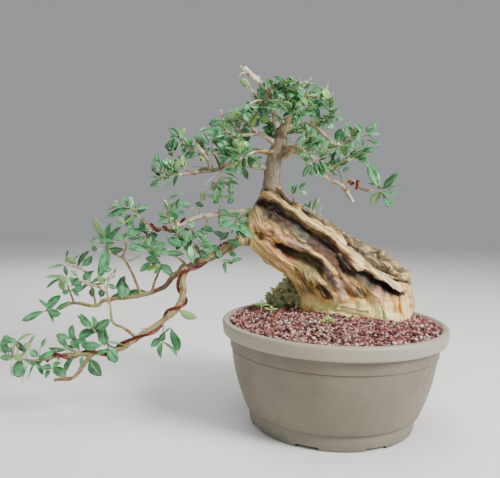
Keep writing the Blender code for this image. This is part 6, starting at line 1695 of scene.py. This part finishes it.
def buildSprays():
    template = leafTemplate()
    feet = []
    sprays = {}
    for twig in twigRows:
        foot, leafy = twigRoutes(twig)
        feet.append(foot)
        sprays[twig[0]] = leafy
    wood = [stemRoute(marks, sizes) for _, marks, sizes in stemRows]
    marked, near = markedLeaves(sprays), nearLeavesOf(sprays, wood)
    total = 0
    for twig in twigRows:
        name, leafLength = twig[0], twig[4]
        leaves = [(root, tip, width * foliage["markedWidth"], facing, arch)
                  for root, tip, width, facing, arch in marked[name]]
        ruled = ruledLeaves(name, sprays[name], leafLength, len(marked[name]), foliage["pairSpacing"])
        if len(marked[name]) < 3:
            ruled += ruledLeaves(f"fill {name}", sprays[name], leafLength * 0.9, 0, foliage["fillSpacing"])
        leaves += [leaf for leaf in ruled if not aboveCrown(leaf)]
        total += buildSpray(name, sprays[name], leaves, near[name], template, leafLength)
    print("leaves", total)
    return feet, template


def leafAgeOf(draw):
    pick = draw.random()
    if pick < 0.16:
        return draw.uniform(0.0, 0.12)
    return draw.uniform(0.8, 1.0) if pick > 0.93 else draw.uniform(0.3, 0.66)


# Bare wood: the live stem, branches, stubs, burrs, feet of the twigs and the root on the grit

branches = {
    "tones": {"live_stem": tone(140, 124, 98), "cascade": tone(138, 118, 72), "hook": tone(156, 134, 78),
              "left_mid": tone(206, 190, 150), "left_low": tone(176, 160, 120),
              "right_low": tone(196, 182, 146), "right_mid": tone(190, 174, 132),
              "upper_branch": tone(196, 184, 152), "apex": tone(226, 212, 176)},
    "tone": tone(156, 138, 84),
    "patches": {  # where a stem is dark and peeled: from, to, tone
        "cascade": (0.78, 1.0, tone(84, 58, 40)), "branch_left": (0.1, 0.3, tone(116, 74, 42)),
        "branch_down": (0.0, 0.05, tone(96, 66, 44)), "live_stem": (0.86, 1.0, tone(88, 66, 50)),
    },
    "stouter": {"branch_left": 1.18, "branch_down": 1.12, "cascade": 1.08, "dead_twig": 1.3, "hook": 1.1},
    "stubTone": tone(212, 196, 160),
    "cutTone": tone(244, 232, 204),
    "burrTone": tone(108, 84, 60),
    "rootTone": tone(146, 78, 62),
    "cutEnds": ["fork_peg_a", "low_peg", "left_low_stub", "left_mid_peg", "left_mid_stub", "apex",
                "upper_stub", "hook", "right_low", "live_stem"],
    "stubs": ["left_peg_side", "fork_peg_a", "fork_peg_b", "low_peg", "left_low_stub", "left_mid_peg",
              "apex_tip_a", "apex_tip_b", "left_mid_stub", "upper_stub", "apex_stub", "dry_shoot_a",
              "dry_shoot_b", "upper_dry_a", "upper_dry_b", "upper_dry_c", "dead_twig"],
}


def stemTone(name):
    if name in branches["stubs"]:
        return branches["stubTone"]
    return branches["tones"].get(name, branches["tone"])


def paintedStem(name):
    base, cut = stemTone(name), branches["cutTone"]
    isCut = name in branches["cutEnds"]

    def colour(share, out):
        lit = 0.9 + 0.2 * out.z
        if isCut and share > 0.985:
            return cut
        low, high, peeled = branches["patches"].get(name, (2.0, 3.0, base))
        ragged = noise.noise(out * 1.7 + Vector((share * 30, 0, 0)))
        inside = min(1.0, max(0.0, min(share - low, high - share) / 0.03 + ragged))
        return tuple((value * (1 - inside) + other * inside) * lit for value, other in zip(base, peeled))
    return colour


def addBurr(work, place, radius, colour, seed):
    layers = layersOf(work)
    first = len(work.verts)
    bmesh.ops.create_icosphere(work, subdivisions=4, radius=1.0)
    work.verts.ensure_lookup_table()
    for vert in work.verts[first:]:
        out = vert.co.copy()
        lump = 1.0 + 0.16 * noise.noise(out * 2.2 + Vector((seed, 0, 0))) + 0.07 * noise.noise(out * 7.0)
        vert.co = place + out * (radius * lump)
        dark = 0.75 + 0.5 * (0.5 + noise.noise(out * 3.0))
        vert[layers["paint"]] = (*[value * dark for value in colour], 1.0)
        vert[layers["grainPlace"]] = out * radius * 0.4
        vert[layers["rough"]] = 0.9


def rootRoute():
    return [(Vector((x * mm, y * mm, soilTop(x * mm, y * mm) + rise * mm)), size * mm)
            for x, y, rise, size in surfaceRoot]


def buildBranches(feet):
    work = bmesh.new()
    layersOf(work)
    for name, marks, sizes in stemRows:
        stout = branches["stouter"].get(name, 1.0) * mm
        sizes = [size * stout for size in spreadSizes(sizes, len(marks))]
        route = smoothLimb([(seen(mark), size) for mark, size in zip(marks, sizes)], 8, 1.2 * mm)
        thick = max(sizes)
        sides = 28 if thick > 0.015 else 16 if thick > 0.005 else 10
        knobs, flare = (0.15, 0.08) if name == "live_stem" else (0.28, 0.45)
        rounded = 0.92 if name in branches["cutEnds"] else 0.5
        addLimb(work, route, sides, paintedStem(name), knobs=knobs, flare=flare, rounded=rounded)
    for index, (mark, radius, toneName) in enumerate(burrRows):
        addBurr(work, seen(mark), radius * mm, branches[toneName], index * 3.1)
    addLimb(work, smoothLimb(rootRoute(), 8, 1.2 * mm), 14, branches["rootTone"], knobs=0.3)
    for foot in feet:
        addLimb(work, smoothLimb(foot, 4, 1.2 * mm), 8, branches["tone"], knobs=0.18, flare=0.5)
    finishPiece(work, "bareBranches", ["bark"], ["trunk"])


# Training wires

wires = {
    "thickness": 3.5 * mm,
    "clear": 0.2 * mm,
}


def buildWires():
    for name, marks in wireRows:
        table = [(*seen(mark[:3]), mark[3] * mm, mark[4]) for mark in marks]
        samples = []
        for span in range(len(table) - 1):
            count = max(3, round((table[span + 1][4] - table[span][4]) * 30))
            samples += [easeRow(table, (span + step / count) / (len(table) - 1)) for step in range(count)]
        samples.append(list(table[-1]))
        places = [Vector(sample[:3]) for sample in samples]
        route = []
        for place, sample, (first, second) in zip(places, samples, framesAlong(places)):
            angle = math.tau * sample[4]
            out = first * math.cos(angle) + second * math.sin(angle)
            stand = (sample[3] + wires["thickness"]) / 2 + wires["clear"]
            route.append((place + out * stand, wires["thickness"]))
        work = bmesh.new()
        layersOf(work)
        addLimb(work, resample(route, 0.9 * mm), 14, (1, 1, 1), knobs=0.0, flare=0.0, rounded=0.8)
        finishPiece(work, name.replace("wire_", "trainingWire_"), ["wire"], [name])


# Creeping clump at the stump's foot, and small weeds in the grit

moss = {
    "lumps": [(291, 277, 76, 8.0), (286, 287, 74, 12.0), (296, 290, 72, 11.0), (279, 294, 72, 10.5),
              (271, 299, 70, 7.0), (289, 299, 66, 11.0), (300, 300, 62, 9.0), (280, 302, 62, 7.0)],
    "leaves": 46,
    "leafSize": (0.003, 0.0075),
    "weeds": [(244, 307), (260, 299), (268, 305), (278, 308), (271, 313), (327, 325)],
    "seedling": (-0.088, 0.030, 0.012),
    "reach": 0.112,
}


def onSoil(across, down):  # the place on the grit that shows at this reading, found by halving
    low, high = -200.0, 200.0
    for _ in range(40):
        depth = (low + high) / 2
        place = seen((across, down, depth))
        if place.z > soilTop(place.x, place.y):
            low = depth
        else:
            high = depth
    spot = Vector((place.x, place.y))
    if spot.length > moss["reach"]:
        spot *= moss["reach"] / spot.length
    return Vector((spot.x, spot.y, soilTop(spot.x, spot.y)))


def buildMoss(template):
    draw = random.Random("moss")
    work = bmesh.new()
    layers = layersOf(work)
    for across, down, depth, size in moss["lumps"]:
        middle, radius = seen((across, down, depth)), size * mm
        first = len(work.verts)
        bmesh.ops.create_icosphere(work, subdivisions=4, radius=1.0)
        work.verts.ensure_lookup_table()
        for vert in work.verts[first:]:
            out = vert.co.copy()
            lump = 0.85 + 0.3 * noise.noise(out * 2.3 + middle * 90)
            lump += 0.16 * noise.noise(out * 7 + middle * 50)
            vert.co = middle + out * radius * lump
            vert[layers["leafAge"]] = 0.6 + 0.4 * noise.noise(out * 6)
        for index in range(moss["leaves"]):
            out = Vector((draw.gauss(0, 1), draw.gauss(0, 1) - 0.7, draw.gauss(0, 1) + 0.4)).normalized()
            root = middle + out * radius * 0.78
            aim = (out + Vector([draw.uniform(-0.9, 0.9) for _ in range(3)])).normalized()
            reach = draw.uniform(*moss["leafSize"])
            width = reach * draw.uniform(0.35, 0.75)
            leaf = (root, root + aim * reach, width, leafFacing(draw, aim, out), 0.2)
            age = draw.uniform(0.0, 0.35)
            addLeaf(work, layers, template, leaf, age, f"moss {size} {index}", slot=0)
    finishPiece(work, "creepingClump", ["moss"], ["moss_clump"])


def addWeed(work, layers, template, foot, height, leafSize, pairs, seed):
    draw = random.Random(f"weed {seed}")
    top = foot + Vector((draw.uniform(-0.2, 0.2), draw.uniform(-0.2, 0.2), 1.0)) * height
    stalk = [(foot - Vector((0, 0, 0.006)), 0.0016), (foot.lerp(top, 0.5), 0.0013), (top, 0.0009)]
    addLimb(work, smoothLimb(stalk, 6, 1.0 * mm), 8, foliage["twigTone"], knobs=0.1, flare=0.1)
    for index in range(pairs * 2):
        turn = index // 2 * math.pi / 2 + index % 2 * math.pi + draw.uniform(-0.3, 0.3)
        aim = Vector((math.cos(turn), math.sin(turn), 0.5)).normalized()
        root = foot.lerp(top, 0.5 + 0.5 * (index // 2 + 1) / pairs)
        tip = root + aim * leafSize * draw.uniform(0.8, 1.2)
        leaf = (root, tip, leafSize * 0.45, Vector((0, -0.3, 1)), 0.2)
        addLeaf(work, layers, template, leaf, 0.92, f"weed {seed} {index}")


def buildWeeds(template):
    work = bmesh.new()
    layers = layersOf(work)
    east, north, height = moss["seedling"]
    foot = Vector((east, north, soilTop(east, north)))
    addWeed(work, layers, template, foot, height, 0.011, 2, 0)
    for index, (across, down) in enumerate(moss["weeds"]):
        addWeed(work, layers, template, onSoil(across, down + 2), 0.007, 0.0095, 2, index + 1)
    finishPiece(work, "seedlings", ["bark", "leaf"], ["seedling"])


def footprintTest():  # whether a place on the grit lies inside the stump
    middle, reach, thick, half = stumpRings()[-1]
    reachFlat, thickFlat = Vector((reach.x, reach.y)), Vector((thick.x, thick.y)).normalized()
    power = stump["squareness"]

    def inside(x, y):
        offset = Vector((x - middle.x, y - middle.y))
        first = abs(offset.dot(reachFlat) / reachFlat.length_squared)
        second = abs(offset.dot(thickFlat) / half)
        return first ** power + second ** power < 0.7
    return inside


buildStage()
buildCamera()
buildPot()
print("pot ready")
buildSoil(footprintTest())
buildStump()
print("stump ready")
feet, template = buildSprays()
buildBranches(feet)
buildWires()
print("branches and wires ready")
buildMoss(template)
buildWeeds(template)
bpy.data.meshes.remove(template)
